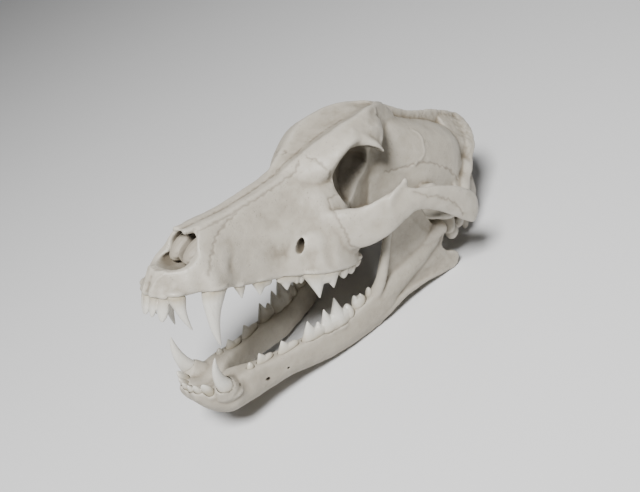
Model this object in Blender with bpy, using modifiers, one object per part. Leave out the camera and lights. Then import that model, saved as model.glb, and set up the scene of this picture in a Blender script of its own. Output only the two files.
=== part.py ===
"""Wolf skull with its jaw open, at life size.

The bones are drawn in the skull's own frame, in millimetres: X runs forward to the snout, Y to the
animal's left and Z up. X is 0 at the back of the occipital condyles and Z is 0 just under the upper
tooth row. At the end each bone is turned to the way the skull lies on a table, and set in metres.
"""

import math

import bmesh
import bpy
import numpy as np
from mathutils import Matrix, Vector

# Driving sizes, in millimetres and degrees
MM = 0.001
JAW_OPENING = 19.0
HINGE = Vector((57.0, 0.0, 14.0))
CONDYLE_RADIUS = 5.0
CONDYLE_ENDS = (34.0, 51.0)
JOINT_GAP = 0.6
SYMPHYSIS_GAP = 0.4
SNOUT_TIP = 249.6

# Fineness of the surfaces
CRANIUM_VOXEL = 1.05
JAW_VOXEL = 0.85
CRANIUM_FACES = 6600
JAW_FACES = 1500

BONE_COLOUR = (0.42, 0.405, 0.375, 1.0)
BONE_ROUGHNESS = 0.55

# Shape of the cranium along X: each list pairs a place on X with a size there
DORSAL_LINE = [(106, 80), (120, 74), (131, 68.3), (140, 64.6), (150, 60.6), (160, 56.2), (175, 50.4),
               (190, 45.3), (205, 41.2), (212, 39.8), (218, 38.5), (225, 37), (231, 35.6), (235, 32), (240, 22.5),
               (243, 18), (245, 15.5), (247, 11.5), (249, 6), (249.6, 4)]
DORSAL_WIDTH = [(106, 10), (120, 17), (132, 16), (140, 14.5), (150, 12), (165, 10.2), (185, 9.5), (205, 9.8),
                (222, 10.5), (232, 10.5), (240, 9), (244, 6.5), (247, 4), (249.6, 1.5)]
CHEEK_WIDTH = [(106, 13), (113, 19), (120, 27), (130, 34.5), (140, 35), (150, 29.5), (160, 25), (175, 21.3),
               (190, 19.8), (205, 19.5), (220, 20.5), (232, 17), (240, 12.5), (244, 9), (246, 6.8), (248, 4.4),
               (249.6, 1.8)]
GUM_WIDTH = [(106, 14), (111, 22), (117, 32.5), (123, 38), (130, 41), (137, 42), (146, 41), (153, 39),
             (160, 34.5), (168, 29.5), (178, 26), (190, 24.3), (203, 23.5), (212, 25), (221, 27), (229, 23.5),
             (237, 17.8), (241, 14.3), (244, 11.6), (246, 9.4), (248, 6.2), (249.6, 2.6)]
GUM_LINE = [(106, 11), (113, 5.5), (122, 2.5), (135, 2), (150, 2.2), (168, 1.6), (186, 1.8), (200, 2.3),
            (212, 4.2), (221, 5.2), (230, 4.6), (238, 3.4), (250, 2.4)]
PALATE_ROOF = [(106, 12), (116, 9.5), (130, 9.5), (160, 9), (200, 8), (225, 7.5), (250, 4)]

BROW_RIDGE = [(58, 88), (67, 92), (78, 94), (88, 93.6), (98, 91.2), (108, 88), (117, 84.6), (126, 80),
              (133, 75.6), (140, 70.6), (149, 64.4), (160, 55)]
BROW_SPREAD = [(58, 4), (70, 8), (80, 12), (90, 15.5), (105, 17.5), (120, 16.5), (133, 13), (145, 9), (160, 5)]
FURROW = [(58, 0), (70, 1), (88, 4.5), (105, 6.5), (120, 6.5), (135, 4.5), (150, 2), (160, 1)]
EYEBROW_WIDTH = [(58, 18), (75, 19), (88, 21), (96, 28), (104, 30.5), (115, 30.5), (125, 29.5), (135, 26.5),
                 (147, 19), (160, 8)]
EYEBROW_HEIGHT = [(58, 76), (75, 78), (88, 77), (96, 75), (104, 75), (115, 75.5), (125, 70.5), (135, 61),
                  (147, 51.5), (160, 42)]
WAIST_WIDTH = [(58, 24), (75, 18), (92, 14.5), (105, 16), (118, 19), (130, 22), (147, 16), (160, 7)]
BASE_WIDTH = [(58, 14), (75, 12), (92, 12), (105, 14), (118, 17), (130, 20), (147, 16), (160, 7)]

BRAIN_WIDTH = [(-4, 14), (4, 24.5), (14, 30), (26, 31), (40, 30.5), (54, 28), (66, 23.5), (78, 18.5), (88, 15)]
BRAIN_TOP = [(-4, 64), (6, 72), (20, 76.5), (38, 79.5), (54, 83), (66, 87.5), (78, 90), (88, 88)]
BRAIN_FLOOR = [(-4, 40), (4, 26), (14, 20), (26, 17.5), (45, 18), (66, 19), (88, 20)]
CREST_LINE = [(-20, 77.4), (-12, 79.6), (-4.7, 81.2), (12, 83.6), (33, 84.8), (48.6, 88), (60, 91.6),
              (72, 93.4)]

# The eye socket from the middle outwards: x, y, z, half height and half length
EYE_SOCKET = [(98, 14.5, 53, 6, 5), (102, 18, 53, 12, 10), (107, 24, 53, 17, 15), (111, 30, 53, 19.6, 20),
              (112, 38, 53, 20.5, 21.5), (112, 46, 53, 19, 20.5), (111, 54, 53, 15, 17), (110, 61, 53, 8, 9)]
# The side of the nose opening in X and Z, behind the tip of the nasal bones
NOSE_NOTCH = [(217.6, 41), (221.4, 33.5), (223.4, 28), (223, 24), (224.6, 20), (228, 17.2), (232, 15.6),
              (237, 15.8), (242, 16.8), (252, 17.5), (252, 44), (232, 46)]
NASAL_HALF_WIDTH = 6.8

# Shape of one half of the lower jaw along X
JAW_INNER = [(97, 34), (104, 31), (112, 27.5), (120, 25.2), (132, 22.5), (150, 18.5), (170, 14.5), (190, 10.5),
             (205, 6), (216, 0.2), (244, 0.2)]
JAW_OUTER = [(97, 38.4), (104, 39), (112, 37.6), (120, 36.2), (132, 34.5), (150, 31), (170, 27), (190, 23.5),
             (206, 21.5), (216, 21.5), (226, 21), (234, 16.5), (240, 12), (243.5, 8)]
JAW_UPPER = [(97, -10), (104, -5), (112, -6.5), (130, -10.5), (145, -13.5), (170, -10.5), (190, -9), (206, -6),
             (216, -5), (228, -5.5), (236, -3), (243.5, -2)]
JAW_LOWER = [(97, -20), (104, -25), (116, -30.5), (133, -32), (150, -32.4), (170, -29.6), (186, -27),
             (209, -27.5), (224, -26), (232, -23), (238, -17), (243.5, -8)]

# Teeth of the left side: each point of a tooth has its root, tip, length, width and turn, then what is special
CANINE = {"sides": 10, "sunk": 5}
SMALL = {"sunk": 4}
UPPER_TEETH = {
    "first incisor": [(((247.2, 3.2, 2), (249.2, 3.4, -8.6), 6.2, 5.2, 90), {"waist": 0.86})],
    "second incisor": [(((244.4, 8.6, 2.2), (246.4, 9.0, -10.4), 7, 6, 60), {"waist": 0.86})],
    "third incisor": [(((239.2, 14.4, 3.2), (232.9, 18.4, -17.2), 10, 7.6, -38),
                       {"bend": (1.8, 0.6, 0), "waist": 0.52})],
    "canine": [(((219.8, 22.4, 4.8), (217.8, 23.2, -29.6), 14.4, 10.4, -8),
                {"bend": (3.2, 0.2, 0), "waist": 0.48} | CANINE)],
    "first premolar": [(((201.6, 21.2, 2.2), (200.4, 21.6, -5.8), 7, 5, 0), SMALL)],
    "second premolar": [(((187.6, 21.6, 1.8), (187.2, 21.9, -7.2), 8.4, 5.2, -4), SMALL),
                        (((183.2, 21.9, 2.4), (182.6, 22, -3.0), 7.2, 4.8, -4), SMALL)],
    "third premolar": [(((171.8, 24.6, 1.6), (169.6, 25.4, -7.4), 10, 5.8, -14), SMALL),
                       (((165.6, 26.6, 2), (164.4, 27, -3.6), 8, 5.4, -16), SMALL)],
    "carnassial": [(((156.6, 34.0, 2), (153.4, 36.4, -13.6), 14, 8, -30), SMALL),
                   (((146.4, 38.0, 2), (144.4, 39, -8.4), 12, 7, -12), SMALL),
                   (((160.2, 26.8, 2), (160.4, 27.4, -4.6), 7, 6, 0), SMALL)],
    "first molar": [(((135.2, 37.4, 2), (135, 38.2, -4.6), 8.4, 8, 0), {}),
                    (((129, 36.4, 2), (128.4, 37.2, -3.8), 8, 8, 0), {}),
                    (((131, 28, 3), (130.6, 27.4, -3.4), 11, 10, 0), SMALL)],
    "second molar": [(((120, 32.6, 3.4), (119.8, 32.8, -2.2), 7.4, 8.6, 0), SMALL),
                     (((119, 27.8, 4.4), (118.8, 27.4, -0.8), 6.6, 7, 0), SMALL)],
}
LOWER_TEETH = {
    "first incisor": [(((240.2, 2.6, -4), (242.6, 2.7, 2.6), 4.6, 5.2, 90), {"waist": 0.9})],
    "second incisor": [(((238.6, 7.0, -4), (241.4, 7.5, 3.4), 5.4, 5.6, 70), {"waist": 0.9})],
    "third incisor": [(((235.4, 11.8, -4.5), (238.6, 13.0, 4.4), 6.4, 6, 50), {"waist": 0.85})],
    "canine": [(((223, 16.8, -9), (229.2, 22.8, 21.2), 14.4, 10.4, 20),
                {"bend": (3.6, -0.2, 0), "waist": 0.5} | CANINE)],
    "first premolar": [(((206.6, 15.4, -6.4), (205.8, 15.4, -2.2), 5.2, 4.2, 0), SMALL)],
    "second premolar": [(((197.2, 15.8, -8), (197.8, 15.6, -0.8), 9.4, 4.8, 0), SMALL)],
    "third premolar": [(((181.4, 18.6, -9.8), (181.8, 18.8, -1.4), 11, 5.6, -10), SMALL)],
    "fourth premolar": [(((163.6, 22.6, -11.2), (162.6, 23.6, 1.8), 13.4, 6.8, -14), {})],
    "carnassial": [(((149.6, 25.2, -13), (149.4, 25.6, 2.6), 11.4, 8.6, -14), {}),
                   (((141.4, 27, -13.4), (140.8, 27.4, 6.4), 12.4, 9.2, -14), {}),
                   (((133.8, 28, -12), (133.4, 28.2, -3.6), 9, 9, 0), SMALL)],
    "second molar": [(((124.6, 28.8, -10.4), (124.8, 28.6, -1.2), 10, 8, 0), SMALL)],
    "third molar": [(((114.4, 30.2, -8.4), (114, 30, -1.6), 6, 5.6, 0), SMALL)],
}


def smooth_curve(stops):
    """A function of place that runs smoothly through the stops and never swings past them."""
    places, sizes = np.array(sorted(stops), float).T
    slopes = np.diff(sizes) / np.diff(places)
    leans = np.concatenate([[slopes[0]], (slopes[:-1] + slopes[1:]) / 2, [slopes[-1]]])
    for i, (before, after) in enumerate(zip(slopes[:-1], slopes[1:]), 1):
        limit = 3 * min(abs(before), abs(after)) if before * after > 0 else 0.0
        leans[i] = np.clip(leans[i], -limit, limit)

    def size_at(place):
        i = int(np.clip(np.searchsorted(places, place) - 1, 0, len(places) - 2))
        step = places[i + 1] - places[i]
        t = float(np.clip((place - places[i]) / step, 0, 1))
        rise = sizes[i + 1] - sizes[i]
        start, end = leans[i] * step, leans[i + 1] * step
        return sizes[i] + t * (start + t * (3 * rise - 2 * start - end + t * (start + end - 2 * rise)))

    return size_at


def catmull(points, steps, closed=False):
    """Points on a smooth curve through the given ones."""
    points = [np.array(p, float) for p in points]
    count = len(points)
    spans = count if closed else count - 1
    found = []
    for i in range(spans):
        if closed:
            a, b, c, d = (points[(i + k) % count] for k in (-1, 0, 1, 2))
        else:
            b, c = points[i], points[i + 1]
            a = points[i - 1] if i else 2 * b - c
            d = points[i + 2] if i + 2 < count else 2 * c - b
        for k in range(steps):
            t = k / steps
            found.append(b + 0.5 * t * (c - a + t * (2 * a - 5 * b + 4 * c - d + t * (3 * (b - c) + d - a))))
    if not closed:
        found.append(points[-1])
    return found


def solid(rings):
    """A closed body through rings of equal count, with both ends filled."""
    shape = bmesh.new()
    made = [[shape.verts.new(tuple(p)) for p in ring] for ring in rings]
    count = len(made[0])
    for near, far in zip(made[:-1], made[1:]):
        for i in range(count):
            j = (i + 1) % count
            shape.faces.new((near[i], near[j], far[j], far[i]))
    shape.faces.new(made[0][::-1])
    shape.faces.new(made[-1])
    bmesh.ops.recalc_face_normals(shape, faces=shape.faces)
    mesh = bpy.data.meshes.new("piece")
    shape.to_mesh(mesh)
    shape.free()
    piece = bpy.data.objects.new("piece", mesh)
    bpy.context.scene.collection.objects.link(piece)
    return piece


def trunk(places, half_section, steps=3):
    """A body on the midline: half_section(x) lists (y, z) from the top round the left side to the bottom."""
    rings = []
    for x in places:
        left = half_section(x)
        outline = left + [(-y, z) for y, z in left[-2:0:-1]]
        rings.append([(x, y, z) for y, z in catmull(outline, steps, closed=True)])
    return solid(rings)


def sweep(stops, across=(0, 0, 1), sides=12, steps=4, side=1, blunt=0.6):
    """A rounded bar through stops of (x, y, z, half size along across, half size beside it)."""
    path = catmull([np.array(s, float) for s in stops], steps)
    across = np.array(across, float)
    centres = np.array([p[:3] for p in path])
    tangents = np.gradient(centres, axis=0)
    rings = []
    last = len(path) - 1
    for i, (stop, tangent) in enumerate(zip(path, tangents)):
        tangent = tangent / np.linalg.norm(tangent)
        high = across - tangent * (across @ tangent)
        high = high / np.linalg.norm(high)
        wide = np.cross(tangent, high)

        def ring(centre, share):
            turns = (2 * math.pi * k / sides for k in range(sides))
            spokes = [high * stop[3] * math.cos(a) + wide * stop[4] * math.sin(a) for a in turns]
            points = [centre + share * spoke for spoke in spokes]
            return [(p[0], p[1] * side, p[2]) for p in points]

        reach = tangent * blunt * min(stop[3], stop[4])
        if i == 0:
            rings.append(ring(stop[:3] - reach, 0.5))
        rings.append(ring(stop[:3], 1.0))
        if i == last:
            rings.append(ring(stop[:3] + reach, 0.5))
    return solid(rings)


def ball(centre, radii, side=1, tilt=0.0, turn=0.0):
    """An ellipsoid, tilted about Y and then turned about Z, in degrees."""
    shape = bmesh.new()
    bmesh.ops.create_uvsphere(shape, u_segments=20, v_segments=14, radius=1.0)
    pose = Matrix.Rotation(math.radians(turn * side), 4, "Z") @ Matrix.Rotation(math.radians(tilt), 4, "Y")
    place = Matrix.Translation((centre[0], centre[1] * side, centre[2]))
    bmesh.ops.transform(shape, matrix=place @ pose @ Matrix.Diagonal((*radii, 1.0)), verts=shape.verts)
    mesh = bpy.data.meshes.new("ball")
    shape.to_mesh(mesh)
    shape.free()
    piece = bpy.data.objects.new("ball", mesh)
    bpy.context.scene.collection.objects.link(piece)
    return piece


def both(make, *args, **options):
    """The same piece on the left and on the right."""
    return [make(*args, side=side, **options) for side in (1, -1)]


def baked(piece):
    """Turns the modifiers of a piece into plain mesh."""
    graph = bpy.context.evaluated_depsgraph_get()
    old = piece.data
    piece.data = bpy.data.meshes.new_from_object(piece.evaluated_get(graph))
    piece.modifiers.clear()
    bpy.data.meshes.remove(old)
    return piece


def joined(name, pieces):
    """All pieces in one object, still as separate closed bodies."""
    with bpy.context.temp_override(active_object=pieces[0], selected_editable_objects=pieces):
        bpy.ops.object.join()
    pieces[0].name = name
    return pieces[0]


def skinned(piece, voxel, rounds):
    """One skin round everything in the piece, softened a little."""
    skin = piece.modifiers.new("skin", "REMESH")
    skin.mode = "VOXEL"
    skin.voxel_size = voxel
    soft = piece.modifiers.new("soft", "SMOOTH")
    soft.factor = 0.5
    soft.iterations = rounds
    return baked(piece)


def carved(piece, cutter):
    """The piece with the cutter's space taken out."""
    cut = piece.modifiers.new("cut", "BOOLEAN")
    cut.operation = "DIFFERENCE"
    cut.solver = "MANIFOLD"
    cut.object = cutter
    baked(piece)
    bpy.data.objects.remove(cutter)
    return piece


def largest_part(piece):
    """Keeps the largest closed surface of the piece."""
    shape = bmesh.new()
    shape.from_mesh(piece.data)
    unseen = set(shape.verts)
    groups = []
    while unseen:
        group = {unseen.pop()}
        edge = list(group)
        while edge:
            linked = {e.other_vert(v) for v in edge for e in v.link_edges} & unseen
            unseen -= linked
            group |= linked
            edge = list(linked)
        groups.append(group)
    keep = max(groups, key=len)
    bmesh.ops.delete(shape, geom=[v for v in shape.verts if v not in keep], context="VERTS")
    bmesh.ops.triangulate(shape, faces=shape.faces)
    shape.to_mesh(piece.data)
    shape.free()
    return piece


def thinned(piece, faces):
    """Fewer faces, kept where the shape bends most."""
    fewer = piece.modifiers.new("fewer", "DECIMATE")
    fewer.ratio = min(1.0, faces / sum(len(p.vertices) - 2 for p in piece.data.polygons))
    return baked(piece)


def rooted(piece, teeth):
    """Joins the teeth to the bone that they grow from."""
    group = bpy.data.collections.new("teeth")
    for tooth in teeth:
        group.objects.link(tooth)
    fit = piece.modifiers.new("teeth", "BOOLEAN")
    fit.operation = "UNION"
    fit.solver = "MANIFOLD"
    fit.operand_type = "COLLECTION"
    fit.collection = group
    baked(piece)
    for tooth in teeth:
        bpy.data.objects.remove(tooth)
    bpy.data.collections.remove(group)
    return largest_part(piece)


def stations(first, last, count):
    return [first + (last - first) * i / (count - 1) for i in range(count)]


def muzzle():
    """The snout and upper jaw, from the incisors back to the cheeks."""
    top, crown, cheek = map(smooth_curve, (DORSAL_LINE, DORSAL_WIDTH, CHEEK_WIDTH))
    gum, line, roof = map(smooth_curve, (GUM_WIDTH, GUM_LINE, PALATE_ROOF))

    def half(x):
        low, wide = line(x), gum(x)
        waist = low + 0.5 * (top(x) - low)
        return [(0, top(x) - 0.8), (0.45 * crown(x), top(x) - 0.2), (crown(x), top(x) - 0.28 * crown(x)),
                (cheek(x), waist), (wide, low + 5), (wide - 1, low), (0.72 * wide, low),
                (0.5 * wide, max(roof(x), low)), (0, max(roof(x), low) + 0.5)]

    return trunk(stations(106, 240, 38) + stations(241, SNOUT_TIP, 8), half)


def root_bulges(side=1):
    """The swellings of the upper jaw over the roots of its largest teeth."""
    canine = [(219.5, 20.6, 4, 8, 6), (216, 20.2, 11, 7.6, 5), (210, 18.6, 20, 6.4, 3.6), (203, 16.4, 28, 4, 2)]
    incisor = [(238.6, 12.4, 4.5, 5.6, 4.4), (236, 12.2, 10, 4.6, 3.4), (232, 12, 15, 3, 2)]
    carnassial_front = [(156, 32.2, 3, 6.4, 4.6), (155.5, 30.2, 10, 5, 3.2)]
    carnassial_back = [(145.5, 37, 3.4, 5, 4), (145, 35.6, 9, 4, 3)]
    roots = (canine, incisor, carnassial_front, carnassial_back)
    return [sweep(root, across=(1, 0, 0), side=side) for root in roots]


def forehead():
    """The frontal bones, with the long dip between them, and the wall between the eyes."""
    ridge, spread, dip = map(smooth_curve, (BROW_RIDGE, BROW_SPREAD, FURROW))
    brow, brow_z = map(smooth_curve, (EYEBROW_WIDTH, EYEBROW_HEIGHT))
    waist, base = map(smooth_curve, (WAIST_WIDTH, BASE_WIDTH))

    def half(x):
        out, fall = brow(x) - spread(x), ridge(x) - brow_z(x)
        return [(0, ridge(x) - dip(x)), (0.5 * spread(x), ridge(x) - 0.6 * dip(x)), (spread(x), ridge(x)),
                (spread(x) + 0.45 * out, ridge(x) - 0.22 * fall),
                (spread(x) + 0.85 * out, ridge(x) - 0.58 * fall), (brow(x), brow_z(x)),
                (0.5 * (brow(x) + waist(x)), brow_z(x) - 7), (waist(x), 50), (base(x), 26),
                (0.6 * base(x), 12), (0, 11)]

    return trunk(stations(60, 160, 34), half)


def braincase():
    """The rounded case of the brain."""
    wide, top, floor = map(smooth_curve, (BRAIN_WIDTH, BRAIN_TOP, BRAIN_FLOOR))

    def half(x):
        w, high, low = wide(x), top(x), floor(x)
        mid = low + 0.45 * (high - low)
        dome = high - mid
        return [(0, high), (0.45 * w, high - 0.08 * dome), (0.82 * w, high - 0.38 * dome), (w, mid),
                (0.92 * w, low + 0.4 * (mid - low)), (0.6 * w, low + 2), (0, low)]

    return trunk(stations(-4, 88, 24), half)


def sagittal_crest():
    """The thin keel along the top of the braincase."""
    top = smooth_curve(CREST_LINE)
    depth = smooth_curve([(-20, 4), (-14, 12), (-6, 20), (4, 22), (72, 20)])

    def half(x):
        high, deep = top(x), depth(x)
        return [(0, high), (1.2, high - 0.05 * deep), (1.5, high - 0.25 * deep), (3.2, high - 0.5 * deep),
                (7, high - 0.85 * deep), (0, high - deep)]

    return trunk(stations(-19.5, 72, 22), half, steps=2)


def nuchal_crest(side=1):
    """The edge of the occiput, from the top of the skull down to the mastoid."""
    stops = [(-15, 0, 76, 4, 2.2), (-13, 8, 72, 5, 1.8), (-9.5, 15.5, 64.5, 6, 1.8), (-4, 21, 55.5, 6, 1.9),
             (4, 26.5, 46, 5.5, 2.1), (12, 32, 35, 4.6, 2.6), (17, 36.5, 24, 4.5, 3.5), (18, 37.5, 14, 3.6, 3)]
    return sweep(stops, across=(-1, 0.5, 0), side=side)


def occiput():
    """The back wall of the skull between the nuchal crests, and the bone under their top corner."""
    left = [(0, 75), (8, 72), (15, 65), (21, 55), (27, 45), (33, 33), (36.5, 21), (30, 14), (16, 14), (0, 16)]
    middle = 44
    rings = []
    for x, share in ((-9, 0.55), (-4, 0.84), (6, 0.97), (22, 1.0)):
        outline = [(y * share, middle + (z - middle) * share) for y, z in left]
        outline += [(-y, z) for y, z in outline[-2:0:-1]]
        rings.append([(x, y, z) for y, z in catmull(outline, 3, closed=True)])
    return [solid(rings), ball((-5, 0, 67.5), (8.5, 10, 9.5))]


def cheek_arch(side=1):
    """The zygomatic arch, from the cheek round to the temple."""
    bar = [(144, 28, 27, 11, 5), (134, 38, 26, 12.5, 5), (125.5, 46, 26, 11.5, 4.4), (115, 53.5, 31, 8.9, 3.6),
           (104, 58.5, 38.2, 7.4, 3.2), (95, 62, 41.6, 6.8, 3), (83, 65.5, 41, 7.8, 3), (70, 67.8, 38, 9.2, 3),
           (58, 69, 33.2, 9.8, 3.4), (49.5, 67.6, 28.8, 8.8, 4.2), (45.6, 59, 26, 6.2, 5), (48, 46.5, 27, 6, 7),
           (52, 32, 33, 9, 9)]
    horn = [(101, 59.5, 41, 12, 2.8), (98.6, 58.6, 45.5, 9, 2.6), (97, 57, 49, 5, 2.2),
            (96.4, 55.8, 51.4, 2.4, 1.5)]
    return [sweep(bar, side=side), sweep(horn, across=(1, 0, 0), side=side)]


def brow_horn(side=1):
    """The postorbital process above the eye, and the flat face of bone over it."""
    edge = [(114, 22, 78, 6, 6), (107, 28, 75, 4.5, 5), (101, 32.2, 71.6, 2.6, 4), (96.8, 34.8, 67.8, 1, 1.8)]
    face = [(112, 16, 83, 5, 6), (104, 21, 82, 5.5, 5.5), (98, 25.5, 78.5, 5, 5), (96, 29.5, 74, 3, 3.4)]
    return [sweep(edge, side=side), sweep(face, side=side)]


def temporal_line(side=1):
    """The edge that runs from the brow horn up to the sagittal crest."""
    stops = [(97.2, 33.5, 69.5, 1.6, 1.8), (93.6, 29, 77.5, 1.8, 2), (90, 23, 85.5, 1.8, 2),
             (84.5, 15, 91.6, 1.6, 2), (75, 6.5, 93.2, 1.5, 2), (64, 1.5, 91.6, 1.5, 1.6)]
    return sweep(stops, side=side)


def skull_base():
    """The floor of the braincase, forward to the palate."""
    wide = smooth_curve([(0, 11), (12, 16), (30, 14), (52, 13), (75, 13), (100, 14), (122, 24)])
    low = smooth_curve([(0, 15), (12, 12.5), (30, 14), (52, 15.5), (75, 15), (100, 10), (122, 7)])

    def half(x):
        return [(0, 30), (wide(x), 28), (wide(x), low(x) + 3), (0.7 * wide(x), low(x)), (0, low(x))]

    return trunk(stations(2, 122, 16), half)


def cheek_floor(side=1):
    """The bone over the last molars, under the eye."""
    return [
        ball((133, 30, 18), (17, 11.5, 14), side=side, turn=-20),
        ball((150, 28.6, 15), (15, 7.6, 13), side=side, turn=-25),
    ]


def wing_plates(side=1):
    """The pterygoid plates behind the palate, with their hooks."""
    plate = [(116, 17, 15, 8, 4), (104, 13, 14, 8, 2.6), (90, 11, 14, 7.5, 1.9), (79, 10.5, 14, 6.5, 1.8),
             (74, 10.5, 11, 4, 1.5)]
    hook = [(78, 10.5, 10, 2.4, 1.5), (74.8, 10.5, 6.6, 1.3, 1.2)]
    return [sweep(plate, side=side), sweep(hook, across=(1, 0, 0), side=side)]


def ear_and_nape(side=1):
    """The tympanic bulla, the condyle of the neck joint, and the processes beside them."""
    nape = [(14, 29, 24, 8, 6), (12, 31.5, 14, 5.6, 4.4), (10.8, 32.6, 6.5, 3.4, 2.8), (10, 33, 2.6, 1.8, 1.6)]
    behind_jaw = [(49, 40, 21, 5, 9), (46.5, 44, 14, 2.6, 9), (46.5, 45, 8.5, 1.8, 6)]
    return [
        ball((36, 20, 11.5), (14.5, 10.5, 11), side=side, turn=-14),
        ball((4.5, 14.5, 20.5), (7.5, 7.0, 9.5), side=side, turn=22, tilt=-12),
        ball((20, 34.6, 20), (8.5, 5, 9), side=side),
        ball((38, 30, 19), (7, 6, 6.5), side=side),
        ball((57, 46, 25), (9, 14, 5.2), side=side),
        sweep(nape, across=(1, 0, 0), side=side),
        sweep(behind_jaw, across=(1, 0, 0), side=side),
    ]


def cranium_hollows():
    """Everything that is cut out of the cranium, as one cutter."""
    nose = [(246, 0, 25.4, 9, 13), (226, 0, 25.4, 9.2, 13), (208, 0, 27, 9, 11.5), (190, 0, 28.5, 6, 7)]
    throat = [(66, 0, 8, 8, 8), (80, 0, 11, 9, 7.6), (98, 0, 13.5, 8, 8), (114, 0, 16, 6, 8),
              (128, 0, 17, 3, 5)]
    neck =[(-12, 0, 21, 9, 11), (0, 0, 23, 8.6, 10.4), (14, 0, 26, 8, 9), (26, 0, 30, 5, 5)]
    pieces = [sweep(nose, sides=20), sweep(throat, sides=16), sweep(neck, sides=16)]
    notch = catmull(NOSE_NOTCH, 3, closed=True)
    under_eye = [(166, 30.6, 18.6, 4.2, 1.8), (157, 26.8, 19.8, 4, 1.8), (149, 24, 21, 2.8, 1.4)]
    palate = [(240, 4.8, 5, 2.4, 5), (230, 5.2, 5, 3, 6), (221, 5, 5, 2.2, 5)]
    ear = [(37, 44, 19, 4, 4), (37, 34, 18, 3.6, 3.6), (37, 27, 17, 2.6, 2.6)]
    room = CONDYLE_RADIUS + JOINT_GAP
    joint = [(HINGE.x, y, HINGE.z, room, room) for y in (32, 44, 60)]
    for side in (1, -1):
        pieces += [
            solid([[(x, y * side, z) for x, z in notch] for y in (NASAL_HALF_WIDTH, 27)]),
            sweep(EYE_SOCKET, sides=24, side=side),
            sweep(under_eye, side=side),
            sweep(palate, across=(0, 1, 0), side=side),
            sweep(ear, side=side),
            sweep(joint, side=side),
        ]
    return joined("hollows", pieces)


def symmetric(make):
    """Every piece that a one-sided function makes, for both sides."""
    found = []
    for made in both(make):
        found += made if isinstance(made, list) else [made]
    return found


def cranium_bone():
    """The cranium without its teeth."""
    pieces = [muzzle(), forehead(), braincase(), sagittal_crest(), skull_base()] + occiput()
    front = (root_bulges, cheek_arch, brow_horn, temporal_line, cheek_floor)
    for make in front + (nuchal_crest, wing_plates, ear_and_nape):
        pieces += symmetric(make)
    bone = skinned(joined("cranium", pieces), CRANIUM_VOXEL, 3)
    bone = carved(bone, skinned(cranium_hollows(), CRANIUM_VOXEL, 2))
    bone = skinned(bone, CRANIUM_VOXEL, 2)
    return thinned(largest_part(bone), CRANIUM_FACES)


def ramus_plate(side):
    """The upright back of the jaw: coronoid process, condyle's neck and angular process in one thin plate."""
    outline = [(124, -14), (113, -7), (108.5, 1), (104.5, 10), (100, 21), (95.5, 32), (90, 42), (83, 48.5),
               (77, 49), (72, 44), (67, 34), (63, 24), (59.5, 18), (53, 14), (52.5, 6), (55.5, -1), (52, -7),
               (45, -11.5), (43.6, -16), (48, -22), (58, -21.6), (72, -20), (86, -20), (97, -21.5),
               (107, -25.2), (118, -29)]
    sheet = [(x, 33 + 0.18 * (115 - x) + 0.08 * max(z, 0), z) for x, z in catmull(outline, 3, closed=True)]
    return solid([[(x, (y + shift) * side, z) for x, y, z in sheet] for shift in (-1.9, 1.9)])


def jaw_body(side):
    """The bar of the lower jaw that holds its teeth."""
    inner, outer, upper, lower = map(smooth_curve, (JAW_INNER, JAW_OUTER, JAW_UPPER, JAW_LOWER))
    rings = []
    for x in stations(97, 243.5, 38):
        near, far, high, low = max(inner(x), SYMPHYSIS_GAP / 2), outer(x), upper(x), lower(x)
        middle, depth = (near + far) / 2, high - low
        lean = 0.5 * (far - near)
        outline = [(near + 0.25 * lean, high), (middle, high + 0.6), (far - 0.25 * lean, high),
                   (far, high - 0.35 * depth), (far - 0.1 * lean, low + 0.3 * depth),
                   (middle + 0.35 * lean, low + 0.04 * depth), (middle - 0.2 * lean, low),
                   (near + 0.25 * lean, low + 0.12 * depth), (near, low + 0.45 * depth),
                   (near, high - 0.2 * depth)]
        rings.append([(x, y * side, z) for y, z in catmull(outline, 2, closed=True)])
    return solid(rings)


def jaw_ridges(side):
    """The thick edges of the upright part, the joint's roller and the socket of the canine."""
    near_end, far_end = CONDYLE_ENDS
    roller = [(near_end, 3.4), (near_end + 5, CONDYLE_RADIUS), (far_end - 4, CONDYLE_RADIUS),
              (far_end, 3.4)]
    coronoid_edge = [(113, 33, -8, 3, 4.2), (108.5, 36.5, 0, 3.2, 3.8), (103, 39.5, 13, 3, 3),
                     (98, 41, 26, 2.6, 2.4), (91, 42.5, 39, 2.2, 2), (82, 43.6, 47, 1.8, 1.6)]
    muscle_ridge = [(122, 30.6, -19, 5.5, 2.6), (106, 36, -17.5, 8, 3.4), (88, 39.6, -10.5, 8.6, 3.4),
                    (73, 42.2, -2, 7.6, 3.4), (60, 44.4, 8, 5, 4.4)]
    heel = [(126, 30, -24, 3.4, 3.2), (110, 33.4, -23.6, 4, 4), (92, 37.6, -18.6, 3.2, 3), (72, 41, -18, 2.4, 2.6),
            (56, 43.6, -20, 2.6, 2.4), (47, 44.8, -18.5, 2.6, 2.2), (44.2, 45, -14, 1.8, 1.8)]
    neck = [(68, 43.5, 6, 5, 2.6), (61, 45, 11, 4.6, 5), (57, 46, 14, 4.4, 7)]
    socket = [(221, 12.5, -12, 8, 7.5), (226, 15.5, -7.5, 8.4, 7.6), (228.5, 17.5, -4.5, 8, 7)]
    return [
        sweep(coronoid_edge, across=(1, 0, 0), side=side),
        sweep(muscle_ridge, side=side),
        sweep(heel, side=side),
        sweep(neck, across=(1, 0, 0), side=side),
        sweep([(HINGE.x, y, HINGE.z, radius, radius) for y, radius in roller], side=side, sides=16),
        sweep(socket, across=(1, 0, 0), side=side, sides=14),
    ]


def jaw_bone(side):
    """One half of the lower jaw, drawn closed."""
    bone = skinned(joined("jaw", [jaw_body(side), ramus_plate(side)] + jaw_ridges(side)), JAW_VOXEL, 3)
    return thinned(largest_part(bone), JAW_FACES)


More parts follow.
